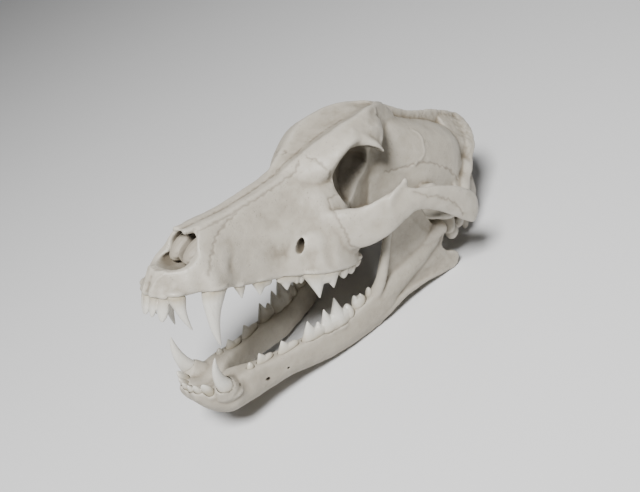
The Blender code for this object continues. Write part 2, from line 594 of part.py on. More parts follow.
def other_side(side):
    """A block that fills everything past the seam between the two jaw halves."""
    seam = SYMPHYSIS_GAP / 2
    corners = [(-20, -45), (seam, -45), (seam, 30), (-20, 30)]
    return solid([[(x, y * side, z) for y, z in corners] for x in (190, SNOUT_TIP)])


def cusp(root, tip, length, width, turn=0.0, bend=(0, 0, 0), sunk=6.0, waist=0.72, sides=8, side=1):
    """One point of a tooth: an oval root in the bone and a crown that tapers to the tip."""
    root, tip, bend = (np.array(v, float) for v in (root, tip, bend))
    along = np.array([math.cos(math.radians(turn)), math.sin(math.radians(turn)), 0.0])
    inward = (root - tip) / np.linalg.norm(root - tip)
    middle = (root + tip) / 2 + bend
    stops = [
        (*(root + inward * sunk), 0.31 * length, 0.31 * width),
        (*root, 0.5 * length, 0.5 * width),
        (*middle, 0.5 * waist * length, 0.5 * waist * width),
        (*(tip + (middle - tip) * 0.12), 0.1 * length, 0.1 * width),
    ]
    return sweep(stops, across=along, sides=sides, steps=1, side=side, blunt=1.0)


def teeth_of(cusps, side):
    return [cusp(*sizes, **extra, side=side) for sizes, extra in cusps]


def cranium():
    teeth = [point for side in (1, -1) for cusps in UPPER_TEETH.values() for point in teeth_of(cusps, side)]
    bone = rooted(cranium_bone(), teeth)
    bone.name = "cranium"
    return bone


def jaw_half(name, side):
    half = rooted(jaw_bone(side), [point for cusps in LOWER_TEETH.values() for point in teeth_of(cusps, side)])
    half = largest_part(carved(half, other_side(side)))
    half.name = name
    swing = Matrix.Rotation(math.radians(JAW_OPENING), 4, "Y")
    half.data.transform(Matrix.Translation(HINGE) @ swing @ Matrix.Translation(-HINGE))
    return half


def tilted(angle):
    """From the skull's frame to the world's: snout towards -Y, left side at +X, nose lifted by the angle."""
    turned = Matrix.Rotation(math.radians(-90), 4, "Z")
    return Matrix.Rotation(-angle, 4, "X") @ turned @ Matrix.Scale(MM, 4)


def corners_of(bones):
    return np.array([v.co[:] for bone in bones for v in bone.data.vertices])


def balance_point(bones):
    """The centre of mass of the bones, all of one density."""
    mass, moment = 0.0, np.zeros(3)
    for bone in bones:
        for face in bone.data.polygons:
            ring = [bone.data.vertices[i].co for i in face.vertices]
            for b, c in zip(ring[1:-1], ring[2:]):
                share = ring[0].dot(b.cross(c))
                mass += share
                moment += share * np.array(ring[0] + b + c) / 4
    return moment / mass


def resting_tilt(bones):
    """The lift of the nose at which the skull lies steady, its centre of mass as low as it goes."""
    corners, centre = corners_of(bones), balance_point(bones)

    def height(angle):
        upward = np.array([math.sin(angle), 0.0, math.cos(angle)])
        return centre @ upward - (corners @ upward).min()

    return min((math.radians(k / 50) for k in range(0, 45 * 50)), key=height)


def set_down(bones):
    """Lays the skull down as it would lie on a table at height 0, and says where its own frame went."""
    matrix = tilted(resting_tilt(bones))
    for bone in bones:
        bone.data.transform(matrix)
    corners = corners_of(bones)
    low, middle = corners.min(axis=0), (corners.min(axis=0) + corners.max(axis=0)) / 2
    shift = Matrix.Translation((-middle[0], -middle[1], -low[2]))
    for bone in bones:
        bone.data.transform(shift)
    return shift @ matrix


def painted(bone):
    material = bpy.data.materials.new(bone.name + "_bone")
    material.use_nodes = True
    shader = material.node_tree.nodes["Principled BSDF"]
    shader.inputs["Base Color"].default_value = BONE_COLOUR
    shader.inputs["Roughness"].default_value = BONE_ROUGHNESS
    bone.data.materials.clear()
    bone.data.materials.append(material)
    bone.data.shade_smooth()


def main():
    for thing in list(bpy.data.objects):
        bpy.data.objects.remove(thing)
    bones = [cranium(), jaw_half("mandible_left", 1), jaw_half("mandible_right", -1)]
    set_down(bones)
    skull = bpy.data.collections.new("wolf_skull")
    bpy.context.scene.collection.children.link(skull)
    for bone in bones:
        painted(bone)
        bpy.context.scene.collection.objects.unlink(bone)
        skull.objects.link(bone)


main()
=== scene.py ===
# %% [markdown]
# # A wolf skull
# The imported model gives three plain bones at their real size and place. This notebook makes the finished
# bones and teeth in the same places. All sizes are in millimetres in the skull's own frame, with X running
# forward to the snout, Y to the animal's left and Z up, because a skull is measured along its own tooth
# row. One matrix then lays it down in the world, in metres.

import math

import bpy
import numpy as np
from mathutils import Matrix, Vector, noise
from mathutils.bvhtree import BVHTree


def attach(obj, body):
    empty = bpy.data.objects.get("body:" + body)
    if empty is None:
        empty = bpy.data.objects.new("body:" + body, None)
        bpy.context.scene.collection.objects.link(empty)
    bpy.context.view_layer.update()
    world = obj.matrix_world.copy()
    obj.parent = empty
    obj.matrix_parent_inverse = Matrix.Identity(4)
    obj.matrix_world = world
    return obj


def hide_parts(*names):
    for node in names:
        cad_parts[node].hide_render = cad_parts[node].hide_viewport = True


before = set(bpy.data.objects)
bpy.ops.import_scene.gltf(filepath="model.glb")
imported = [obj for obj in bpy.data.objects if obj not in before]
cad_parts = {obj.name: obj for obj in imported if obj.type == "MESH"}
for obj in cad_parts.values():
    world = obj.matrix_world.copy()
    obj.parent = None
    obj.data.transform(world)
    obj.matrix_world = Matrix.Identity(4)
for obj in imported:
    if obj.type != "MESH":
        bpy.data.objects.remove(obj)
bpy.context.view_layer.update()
bpy.ops.object.select_all(action="DESELECT")

# %% The skull's own frame
MM = 0.001
NOSE_LIFT = 26.28
SKULL_PLACE = (0.000045, 0.090629, -0.000816)
JAW_OPENING = 19.0
HINGE = Vector((57.0, 0.0, 14.0))

turned = Matrix.Rotation(-math.radians(NOSE_LIFT), 4, "X") @ Matrix.Rotation(math.radians(-90), 4, "Z")
to_world = Matrix.Translation(SKULL_PLACE) @ turned @ Matrix.Scale(MM, 4)
opened = Matrix.Rotation(math.radians(JAW_OPENING), 4, "Y")
swing = Matrix.Translation(HINGE) @ opened @ Matrix.Translation(-HINGE)
print("the snout points to", [round(v, 3) for v in turned @ Vector((1, 0, 0))])

# %% [markdown]
# A skull has no straight edges, so its sizes are kept as short lists of stops along its length, and a
# smooth curve gives the size at any place between them. A spline could swing past its stops and leave
# ripples in the bone. This curve limits its slope at each stop, so it never does.

# %% Curves through stops
def smooth_curve(stops):
    """The size at any place, running smoothly through the stops."""
    places, sizes = np.array(sorted(stops), float).T
    slopes = np.diff(sizes) / np.diff(places)
    leans = np.concatenate([[slopes[0]], (slopes[:-1] + slopes[1:]) / 2, [slopes[-1]]])
    for i, (before, after) in enumerate(zip(slopes[:-1], slopes[1:]), 1):
        limit = 3 * min(abs(before), abs(after)) if before * after > 0 else 0.0
        leans[i] = np.clip(leans[i], -limit, limit)

    def size_at(place):
        i = int(np.clip(np.searchsorted(places, place) - 1, 0, len(places) - 2))
        step = places[i + 1] - places[i]
        t = float(np.clip((place - places[i]) / step, 0, 1))
        rise = sizes[i + 1] - sizes[i]
        start, end = leans[i] * step, leans[i + 1] * step
        return sizes[i] + t * (start + t * (3 * rise - 2 * start - end + t * (start + end - 2 * rise)))

    return size_at


def through(points, steps, closed=False):
    """More points, on a smooth line through the given ones."""
    points = [np.array(p, float) for p in points]
    count = len(points)
    found = []
    for i in range(count if closed else count - 1):
        if closed:
            a, b, c, d = (points[(i + k) % count] for k in (-1, 0, 1, 2))
        else:
            b, c = points[i], points[i + 1]
            a = points[i - 1] if i else 2 * b - c
            d = points[i + 2] if i + 2 < count else 2 * c - b
        for k in range(steps):
            t = k / steps
            bend = 2 * a - 5 * b + 4 * c - d + t * (3 * (b - c) + d - a)
            found.append(b + 0.5 * t * (c - a + t * bend))
    if not closed:
        found.append(points[-1])
    return found


def stations(first, last, count):
    return [first + (last - first) * i / (count - 1) for i in range(count)]


# %% Selecting and finishing, as by hand
def only(*pieces):
    """Selects these pieces alone, with the first one active."""
    bpy.ops.object.select_all(action="DESELECT")
    for piece in pieces:
        piece.select_set(True)
    bpy.context.view_layer.objects.active = pieces[0]


def joined(name, pieces):
    only(*pieces)
    bpy.ops.object.join()
    pieces[0].name = name
    return pieces[0]


def placed(name, data):
    """A new object in the scene."""
    thing = bpy.data.objects.new(name, data)
    bpy.context.scene.collection.objects.link(thing)
    return thing


def edited(piece, *steps):
    """Runs the steps on the whole piece in edit mode, then turns its faces outwards."""
    only(piece)
    bpy.ops.object.mode_set(mode="EDIT")
    bpy.ops.mesh.select_all(action="SELECT")
    for step in steps:
        step()
    bpy.ops.mesh.normals_make_consistent(inside=False)
    bpy.ops.object.mode_set(mode="OBJECT")
    return piece


def applied(piece, kind, **settings):
    """Puts one modifier on the piece and applies it."""
    only(piece)
    step = piece.modifiers.new(kind.title(), kind)
    for name, value in settings.items():
        setattr(step, name, value)
    bpy.ops.object.modifier_apply(modifier=step.name)
    return piece


def skinned(piece, voxel, rounds):
    """One skin round all that the piece holds, softened a little."""
    applied(piece, "REMESH", mode="VOXEL", voxel_size=voxel)
    return applied(piece, "SMOOTH", factor=0.5, iterations=rounds)


def carved(piece, cutter):
    applied(piece, "BOOLEAN", operation="DIFFERENCE", solver="MANIFOLD", object=cutter)
    bpy.data.objects.remove(cutter)
    return piece


def mirrored(piece):
    """A copy on the other side of the skull."""
    only(piece)
    bpy.ops.object.duplicate()
    copy = bpy.context.active_object
    bpy.ops.transform.resize(value=(1, -1, 1), center_override=(0, 0, 0))
    bpy.ops.object.transform_apply(location=True, rotation=True, scale=True)
    return edited(copy)


def triangles(piece):
    return sum(len(p.vertices) - 2 for p in piece.data.polygons)


# %% [markdown]
# Bone grows in long swellings and thin blades that run into each other. They could be drawn by hand as
# one cage of faces, but a cage gets in the way where three forms meet. Here every form is its own closed
# body, lofted through sections, and a voxel remesh then makes one skin of them, as a sculptor adds clay.
# The sections come from the size curves, which edit mode has no tool for, so the lofts are made as meshes.

# %% Lofts
def from_points(name, points, faces=()):
    mesh = bpy.data.meshes.new(name)
    mesh.from_pydata(points, [], faces)
    return placed(name, mesh)


def loft(rings):
    """A closed body through rings of equal count."""
    count = len(rings[0])
    points = [tuple(p) for ring in rings for p in ring]
    faces = [tuple(range(count))[::-1], tuple(range(len(points) - count, len(points)))]
    for k in range(len(rings) - 1):
        for i in range(count):
            j = (i + 1) % count
            faces.append((k * count + i, k * count + j, (k + 1) * count + j, (k + 1) * count + i))
    return edited(from_points("loft", points, faces))


def trunk(places, half_section, steps=5):
    """A body on the midline. half_section(x) lists (y, z) round the left half, from the top down."""
    rings = []
    for x in places:
        left = half_section(x)
        outline = left + [(-y, z) for y, z in left[-2:0:-1]]
        rings.append([(x, y, z) for y, z in through(outline, steps, closed=True)])
    return loft(rings)


# %% Bars, balls and hulls
BAR_STEPS = 7


def bar(stops, across=(0, 0, 1), sides=18, blunt=0.6):
    """A rounded bar through stops of (x, y, z, half size along across, half size beside it)."""
    path = through(stops, BAR_STEPS)
    across = np.array(across, float)
    tangents = np.gradient(np.array([p[:3] for p in path]), axis=0)
    turns = [2 * math.pi * k / sides for k in range(sides)]
    rings = []
    for i, (stop, tangent) in enumerate(zip(path, tangents)):
        tangent = tangent / np.linalg.norm(tangent)
        high = across - tangent * (across @ tangent)
        high = high / np.linalg.norm(high)
        wide = np.cross(tangent, high)

        def ring(centre, share):
            return [centre + share * (high * stop[3] * math.cos(a) + wide * stop[4] * math.sin(a))
                    for a in turns]

        reach = tangent * blunt * min(stop[3], stop[4])
        if i == 0:
            rings.append(ring(stop[:3] - reach, 0.5))
        rings.append(ring(stop[:3], 1.0))
        if i == len(path) - 1:
            rings.append(ring(stop[:3] + reach, 0.5))
    return loft(rings)


def ball(centre, radii, tilt=0.0, turn=0.0):
    """A ball added at its place and size, tilted about Y and then turned about Z, in degrees."""
    bpy.ops.object.select_all(action="DESELECT")
    rotation = (0, math.radians(tilt), math.radians(turn))
    bpy.ops.mesh.primitive_uv_sphere_add(segments=28, ring_count=18, location=centre, rotation=rotation)
    piece = bpy.context.active_object
    piece.scale = radii
    bpy.ops.object.transform_apply(location=True, rotation=True, scale=True)
    return piece


def hull(points):
    """The smallest bulging body round the points."""
    return edited(from_points("hull", points), bpy.ops.mesh.convex_hull)


# %% [markdown]
# A tooth is a root in the bone and a crown of one or more points. Each point is modelled as by hand: a
# circle is added at the neck and extruded ring by ring to the tip, narrower each time. A lathe would do
# for a peg, but a wolf's teeth are flat from side to side and lean, so each ring has its own two widths.
# A profile says how the widths fall from neck to tip: a fang is a long cone with a wide foot, a chisel is
# an incisor's flat crown, a blade is a triangle with a wide base, a knob is a low, blunt point of a
# grinding tooth, and a heel is the flat body that joins the points of one tooth.

# %% The points of a tooth
FANG = [(-0.14, 0.5, 0.5), (-0.05, 0.9, 0.88), (0.06, 1, 1), (0.2, 0.86, 0.9), (0.33, 0.68, 0.73),
        (0.46, 0.55, 0.6), (0.6, 0.44, 0.48), (0.74, 0.33, 0.36), (0.86, 0.21, 0.24),
        (0.94, 0.12, 0.14), (1, 0.02, 0.02)]
CHISEL = [(-0.3, 0.66, 0.62), (0, 1, 0.9), (0.3, 0.94, 1), (0.58, 0.76, 0.96), (0.78, 0.54, 0.76),
          (0.9, 0.36, 0.5), (0.97, 0.22, 0.28), (1, 0.08, 0.1)]
BLADE = [(-0.24, 0.56, 0.56), (-0.08, 0.9, 0.88), (0.08, 1, 1), (0.24, 0.84, 0.9), (0.42, 0.62, 0.76),
         (0.6, 0.44, 0.58), (0.78, 0.26, 0.38), (0.9, 0.14, 0.22), (1, 0.04, 0.07)]
KNOB = [(-0.4, 0.72, 0.72), (-0.1, 0.97, 0.97), (0.2, 1, 1), (0.5, 0.82, 0.84), (0.75, 0.56, 0.6),
        (0.92, 0.3, 0.34), (1, 0.08, 0.1)]
HEEL = [(-0.4, 0.8, 0.8), (-0.1, 0.98, 0.96), (0.3, 1, 1), (0.65, 0.93, 0.9), (0.88, 0.76, 0.66),
        (1, 0.4, 0.3)]
TOOTH_SIDES = 16


def crown(profile, root, tip, length, width, turn=0.0, bend=(0, 0, 0)):
    """One point of a tooth, from its neck to its tip."""
    root, tip, bend = Vector(root), Vector(tip), Vector(bend)
    bpy.ops.object.select_all(action="DESELECT")
    bpy.ops.mesh.primitive_circle_add(vertices=TOOTH_SIDES, radius=0.5, fill_type="NGON")
    piece = bpy.context.active_object
    bpy.ops.object.mode_set(mode="EDIT")
    bpy.ops.mesh.select_all(action="SELECT")
    back = Matrix.Rotation(math.radians(-turn), 3, "Z")
    here, size = Vector((0, 0, 0)), (1.0, 1.0)
    for k, (height, long, wide) in enumerate(profile):
        place = back @ (root + (tip - root) * height + bend * 4 * max(height, 0) * (1 - height))
        if k:
            bpy.ops.mesh.extrude_region_move(TRANSFORM_OT_translate={"value": place - here})
        else:
            bpy.ops.transform.translate(value=place - here)
        now = (length * long, width * wide)
        bpy.ops.transform.resize(value=(now[0] / size[0], now[1] / size[1], 1), center_override=place)
        here, size = place, now
    bpy.ops.object.mode_set(mode="OBJECT")
    edited(piece)
    piece.rotation_euler.z = math.radians(turn)
    bpy.ops.object.transform_apply(location=True, rotation=True, scale=True)
    return piece


# %% [markdown]
# An adult wolf has 42 teeth: above, three incisors, a canine, four premolars and two molars on each side,
# and below the same with a third small molar. They could be separate objects, but they touch the bone
# all round and never move, so each jaw's teeth are one piece, with the left side modelled and mirrored.

# %% Sizes of the teeth
UPPER_TEETH = [
    (CHISEL, (246.4, 3.2, 2.6), (249.2, 3.2, -9), 5.4, 6.2),
    (CHISEL, (243.9, 8.9, 2.6), (246.6, 9.2, -11), 6, 7, 32),
    (FANG, (239.6, 14, 4.2), (232.7, 18.4, -17.4), 10.4, 8, -38, (2, 0.8, 0)),
    (FANG, (219.8, 22.3, 5.2), (217.8, 23.3, -29.6), 14.6, 10.6, -8, (3, 0.3, 0)),
    (BLADE, (201.6, 21.2, 2.4), (200.4, 21.6, -5.8), 7.6, 5),
    (BLADE, (187, 21.7, 2.2), (187.4, 21.9, -7), 12, 5.4, -4),
    (HEEL, (184.6, 21.9, 2), (184.4, 22, -2.2), 12, 4.8, -4),
    (BLADE, (170.6, 24.9, 2.2), (169.8, 25.4, -7.2), 13, 5.9, -14),
    (HEEL, (168.6, 25.5, 2), (168.2, 25.8, -2.6), 17, 5.6, -14),
    (KNOB, (164.4, 26.7, 1.6), (163.6, 27.1, -4.2), 6.2, 5.2, -16),
    (BLADE, (155.8, 33.8, 2.4), (153.4, 36.3, -13.5), 15, 8.6, -30),
    (BLADE, (146.4, 37.4, 2.2), (144.4, 39, -8.6), 13.4, 7.4, -12),
    (HEEL, (151.4, 35.4, 2), (151, 36.6, -4.6), 21, 7.2, -20),
    (KNOB, (160.2, 27, 2.4), (160.5, 27.4, -4.6), 7, 6.4),
    (KNOB, (135.6, 37, 2.2), (135.3, 38, -4.8), 8.6, 8.2),
    (KNOB, (128.6, 36.2, 2.2), (128.2, 37, -3.9), 8, 7.8),
    (HEEL, (131.8, 33, 2.4), (131.6, 32.6, -2), 15, 15),
    (KNOB, (131.4, 28.6, 3), (130.8, 27.6, -3.4), 11, 10.4),
    (KNOB, (120.2, 32.6, 3.2), (119.9, 32.8, -2.4), 7.6, 8.6),
    (KNOB, (118.8, 27.6, 4), (118.6, 27.4, -1), 6.8, 7.2),
]
LOWER_TEETH = [
    (CHISEL, (239.4, 2.6, -5.4), (242.4, 2.7, 2.6), 5, 5),
    (CHISEL, (238, 7.3, -5.4), (241.2, 7.7, 3.4), 5.2, 5.6, 22),
    (CHISEL, (234.9, 12.1, -5.4), (238.3, 13.2, 4.2), 5.6, 6.6, 42),
    (FANG, (223, 16.8, -8.8), (229.2, 22.7, 21.2), 14.4, 10.6, 20, (4.2, -0.3, 0)),
    (KNOB, (206.6, 15.4, -6.6), (205.9, 15.4, -2), 5.6, 4.4),
    (BLADE, (196.8, 15.8, -8), (197.8, 15.6, -0.8), 10.6, 4.9),
    (HEEL, (195, 16, -8), (195, 16, -5), 12.4, 4.6),
    (BLADE, (181, 18.7, -10), (181.8, 18.8, -1.4), 12, 5.7, -10),
    (HEEL, (178.8, 19.2, -10), (178.6, 19.3, -6), 15.4, 5.2, -10),
    (BLADE, (163.4, 22.7, -11.4), (162.5, 23.6, 1.8), 13, 6.8, -14),
    (HEEL, (160.6, 23.6, -11.6), (160.4, 23.8, -5.4), 17.6, 6.2, -14),
    (KNOB, (156.6, 24.3, -11), (156, 24.6, -2.8), 5.4, 5.4, -14),
    (BLADE, (149.8, 25.3, -12.6), (149.5, 25.6, 2.8), 12.6, 8.4, -14),
    (BLADE, (141.8, 26.9, -12.8), (140.8, 27.4, 6.6), 14, 9.4, -14),
    (HEEL, (142.8, 26.8, -12.8), (142.6, 26.9, -4), 26, 8.2, -12),
    (KNOB, (133.6, 28, -11.4), (133.2, 28.2, -3), 8.6, 8.6),
    (HEEL, (123.6, 28.9, -10), (123.6, 28.8, -3.6), 11.6, 8),
    (KNOB, (125.6, 28.6, -9.6), (125.8, 28.4, -1.2), 6, 6.6),
    (KNOB, (121.2, 29, -9.6), (121, 29, -2.6), 5.4, 6),
    (KNOB, (114.4, 30.2, -8.4), (114.1, 30, -1.8), 6, 5.8),
]
TOOTH_VOXEL = 0.34

# %% Model the teeth
left_upper = joined("left_upper", [crown(*sizes) for sizes in UPPER_TEETH])
upper_teeth = joined("upper_teeth", [left_upper, mirrored(left_upper)])
lower_teeth_left = joined("lower_teeth_left", [crown(*sizes) for sizes in LOWER_TEETH])
lower_teeth_right = mirrored(lower_teeth_left)
lower_teeth_right.name = "lower_teeth_right"
for teeth in (upper_teeth, lower_teeth_left, lower_teeth_right):
    skinned(teeth, TOOTH_VOXEL, rounds=3)
    print(teeth.name, triangles(teeth), "triangles")

# %% [markdown]
# A tooth in dry bone stands in a socket with a fine dark gap round it, where the gum's last fibres were.
# The gap is as wide everywhere, so the sockets are cut later with these same teeth, swollen a little.

# %% Swell copies of the teeth for their sockets
SOCKET_GAP = 0.4
SOCKET_THINNING = 0.3


def swollen(teeth, name):
    """A copy of the teeth, grown by the gap."""
    only(teeth)
    bpy.ops.object.duplicate()
    copy = bpy.context.active_object
    copy.name = name
    applied(copy, "DECIMATE", ratio=SOCKET_THINNING)
    return applied(copy, "DISPLACE", strength=SOCKET_GAP, mid_level=0.0)


upper_sockets = swollen(upper_teeth, "upper_sockets")
lower_sockets = swollen(lower_teeth_left, "lower_sockets")
print("sockets", triangles(upper_sockets), triangles(lower_sockets), "triangles")

# %% [markdown]
# The cranium's sizes. Each list pairs a place along the skull with a size there: heights of the profile,
# half widths of the cheeks and the gum, and so on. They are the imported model's own, so the finished bone
# lies where the solid does.

# %% Sizes of the snout
SNOUT_TIP = 249.6
DORSAL_LINE = [(106, 80), (120, 74), (131, 68.3), (140, 64.6), (150, 60.6), (160, 56.2), (175, 50.4),
               (190, 45.3), (205, 41.2), (212, 39.8), (218, 38.5), (225, 37), (231, 35.6), (235, 32),
               (240, 22.5), (243, 18), (245, 15.5), (247, 11.5), (249, 6), (249.6, 4)]
DORSAL_WIDTH = [(106, 10), (120, 17), (132, 16), (140, 14.5), (150, 12), (165, 10.2), (185, 9.5),
                (205, 9.8), (222, 10.5), (232, 10.5), (240, 9), (244, 6.5), (247, 4), (249.6, 1.5)]
CHEEK_WIDTH = [(106, 13), (113, 19), (120, 27), (130, 34.5), (140, 35), (150, 29.5), (160, 25),
               (175, 21.3), (190, 19.8), (205, 19.5), (220, 20.5), (232, 17), (240, 12.5), (244, 9),
               (246, 6.8), (248, 4.4), (249.6, 1.8)]
GUM_WIDTH = [(106, 14), (111, 22), (117, 32.5), (123, 38), (130, 41), (137, 42), (146, 41), (153, 39),
             (160, 34.5), (168, 29.5), (178, 26), (190, 24.3), (203, 23.5), (212, 25), (221, 27),
             (229, 23.5), (237, 17.8), (241, 14.3), (244, 11.6), (246, 9.4), (248, 6.2), (249.6, 2.6)]
GUM_LINE = [(106, 11), (113, 5.5), (122, 2.5), (135, 2), (150, 2.2), (168, 1.6), (186, 1.8), (200, 2.3),
            (212, 4.2), (221, 5.2), (230, 4.6), (238, 3.4), (250, 2.4)]
PALATE_ROOF = [(106, 12), (116, 9.5), (130, 9.5), (160, 9), (200, 8), (225, 7.5), (250, 4)]

# %% Sizes of the forehead and braincase
BROW_RIDGE = [(58, 88), (67, 92), (78, 94), (88, 93.6), (98, 91.2), (108, 88), (117, 84.6), (126, 80),
              (133, 75.6), (140, 70.6), (149, 64.4), (160, 55)]
BROW_SPREAD = [(58, 4), (70, 8), (80, 12), (90, 15.5), (105, 17.5), (120, 16.5), (133, 13), (145, 9),
               (160, 5)]
FURROW = [(58, 0), (70, 1), (88, 4.5), (105, 6.5), (120, 6.5), (135, 4.5), (150, 2), (160, 1)]
EYEBROW_WIDTH = [(58, 13), (75, 15), (88, 20), (96, 28), (104, 30.5), (115, 30.5), (125, 29.5),
                 (135, 26), (147, 17), (160, 7)]
EYEBROW_HEIGHT = [(58, 76), (75, 78), (88, 77), (96, 75), (104, 75), (115, 75.5), (125, 70.5),
                  (135, 61), (147, 51.5), (160, 42)]
WAIST_WIDTH = [(58, 24), (75, 18), (92, 14.5), (105, 16), (118, 19), (130, 22), (147, 16), (160, 7)]
BASE_WIDTH = [(58, 14), (75, 12), (92, 12), (105, 14), (118, 17), (130, 20), (147, 16), (160, 7)]
BRAIN_WIDTH = [(-4, 13.4), (4, 23.6), (14, 29.6), (26, 31), (40, 30.5), (54, 28), (66, 23.5),
               (78, 18.5), (88, 15)]
BRAIN_TOP = [(-4, 63), (6, 71.5), (20, 76.5), (38, 79.5), (54, 83), (66, 87.5), (78, 90), (88, 88)]
BRAIN_FLOOR = [(-4, 40), (4, 26), (14, 20), (26, 17.5), (45, 18), (66, 19), (88, 20)]
CREST_LINE = [(-20, 77.4), (-12, 79.6), (-4.7, 81.2), (12, 83.6), (33, 84.8), (48.6, 88), (60, 91.6),
              (72, 93.4)]

# %% [markdown]
# The snout, forehead, braincase, crest and floor lie on the midline. Each is one loft whose section is
# drawn for the left half and mirrored, so the skull is even.

# %% Forms on the midline
def muzzle():
    top, ridge, cheek = map(smooth_curve, (DORSAL_LINE, DORSAL_WIDTH, CHEEK_WIDTH))
    gum, line, roof = map(smooth_curve, (GUM_WIDTH, GUM_LINE, PALATE_ROOF))

    def half(x):
        low, wide = line(x), gum(x)
        return [(0, top(x) - 0.8), (0.45 * ridge(x), top(x) - 0.2),
                (ridge(x), top(x) - 0.28 * ridge(x)), (cheek(x), low + 0.5 * (top(x) - low)),
                (wide, low + 5), (wide - 1, low), (0.72 * wide, low), (0.5 * wide, max(roof(x), low)),
                (0, max(roof(x), low) + 0.5)]

    return trunk(stations(106, 240, 70) + stations(240.5, SNOUT_TIP, 20), half)


def forehead():
    ridge, spread, dip = map(smooth_curve, (BROW_RIDGE, BROW_SPREAD, FURROW))
    brow, brow_z = map(smooth_curve, (EYEBROW_WIDTH, EYEBROW_HEIGHT))
    waist, base = map(smooth_curve, (WAIST_WIDTH, BASE_WIDTH))

    def half(x):
        out, fall = brow(x) - spread(x), ridge(x) - brow_z(x)
        return [(0, ridge(x) - dip(x)), (0.5 * spread(x), ridge(x) - 0.6 * dip(x)),
                (spread(x), ridge(x)), (spread(x) + 0.45 * out, ridge(x) - 0.22 * fall),
                (spread(x) + 0.85 * out, ridge(x) - 0.58 * fall), (brow(x), brow_z(x)),
                (0.5 * (brow(x) + waist(x)), brow_z(x) - 7), (waist(x), 50), (base(x), 26),
                (0.6 * base(x), 12), (0, 11)]

    return trunk(stations(60, 160, 60), half)


def braincase():
    wide, top, floor = map(smooth_curve, (BRAIN_WIDTH, BRAIN_TOP, BRAIN_FLOOR))

    def half(x):
        w, high, low = wide(x), top(x), floor(x)
        mid = low + 0.45 * (high - low)
        return [(0, high), (0.45 * w, high - 0.08 * (high - mid)),
                (0.82 * w, high - 0.38 * (high - mid)), (w, mid), (0.92 * w, low + 0.4 * (mid - low)),
                (0.6 * w, low + 2), (0, low)]

    return trunk(stations(-4, 88, 50), half)


def sagittal_crest():
    top = smooth_curve(CREST_LINE)
    depth = smooth_curve([(-20, 4), (-14, 12), (-6, 20), (4, 22), (72, 20)])

    def half(x):
        high, deep = top(x), depth(x)
        return [(0, high), (1.2, high - 0.05 * deep), (1.5, high - 0.25 * deep),
                (3.2, high - 0.5 * deep), (7, high - 0.85 * deep), (0, high - deep)]

    return trunk(stations(-19.5, 72, 50), half, steps=4)


# %% The base and the back of the skull
def skull_base():
    wide = smooth_curve([(0, 11), (12, 16), (30, 14), (52, 13), (75, 13), (100, 14), (122, 24)])
    low = smooth_curve([(0, 15), (12, 12.5), (30, 14), (52, 15.5), (75, 15), (100, 10), (122, 7)])

    def half(x):
        return [(0, 30), (wide(x), 28), (wide(x), low(x) + 3), (0.7 * wide(x), low(x)), (0, low(x))]

    return trunk(stations(2, 122, 40), half)


def occiput():
    left = [(0, 75), (8, 72), (15, 65), (21, 55), (27, 45), (33, 33), (36.5, 21), (30, 14), (16, 14),
            (0, 16)]
    middle = 44
    rings = []
    for x, share in ((-9, 0.55), (-4, 0.84), (6, 0.97), (22, 1.0)):
        outline = [(y * share, middle + (z - middle) * share) for y, z in left]
        outline += [(-y, z) for y, z in outline[-2:0:-1]]
        rings.append([(x, y, z) for y, z in through(outline, 5, closed=True)])
    return joined("occiput", [loft(rings), ball((-5, 0, 67.5), (8.5, 10, 9.5))])


# %% [markdown]
# The arches, ridges and plates come in pairs. Each is a bar through a few stops, with its own height and
# thickness at each, or a squashed ball. The left ones are joined and mirrored together.

# %% Forms of the left side
BROW_FACE = [(116, 14, 84), (100, 16.5, 90.8), (87.6, 15.5, 91.6), (85.9, 21.8, 85.6), (88, 27.2, 78.6),
             (96.6, 33.8, 69.8), (101, 32.9, 73), (107, 30.8, 75.8), (116, 28, 75), (108, 27.2, 82.4),
             (101, 28.4, 82.2), (94, 27.6, 83.2), (110, 12, 74), (96, 14, 74), (90, 14, 80),
             (98, 26, 70)]
BACK_CORNER = [(-13.5, 0, 77), (-12, 8, 73), (-8.6, 15.5, 65.6), (-3, 21, 56.6), (4.4, 26, 46.6),
               (10, 30.5, 38), (5, 0, 80), (7, 8, 72.4), (8, 16, 66.6), (10, 22.5, 58), (14, 27.5, 48),
               (18, 31, 38), (-6, 0, 60), (0, 10, 50), (8, 20, 38)]


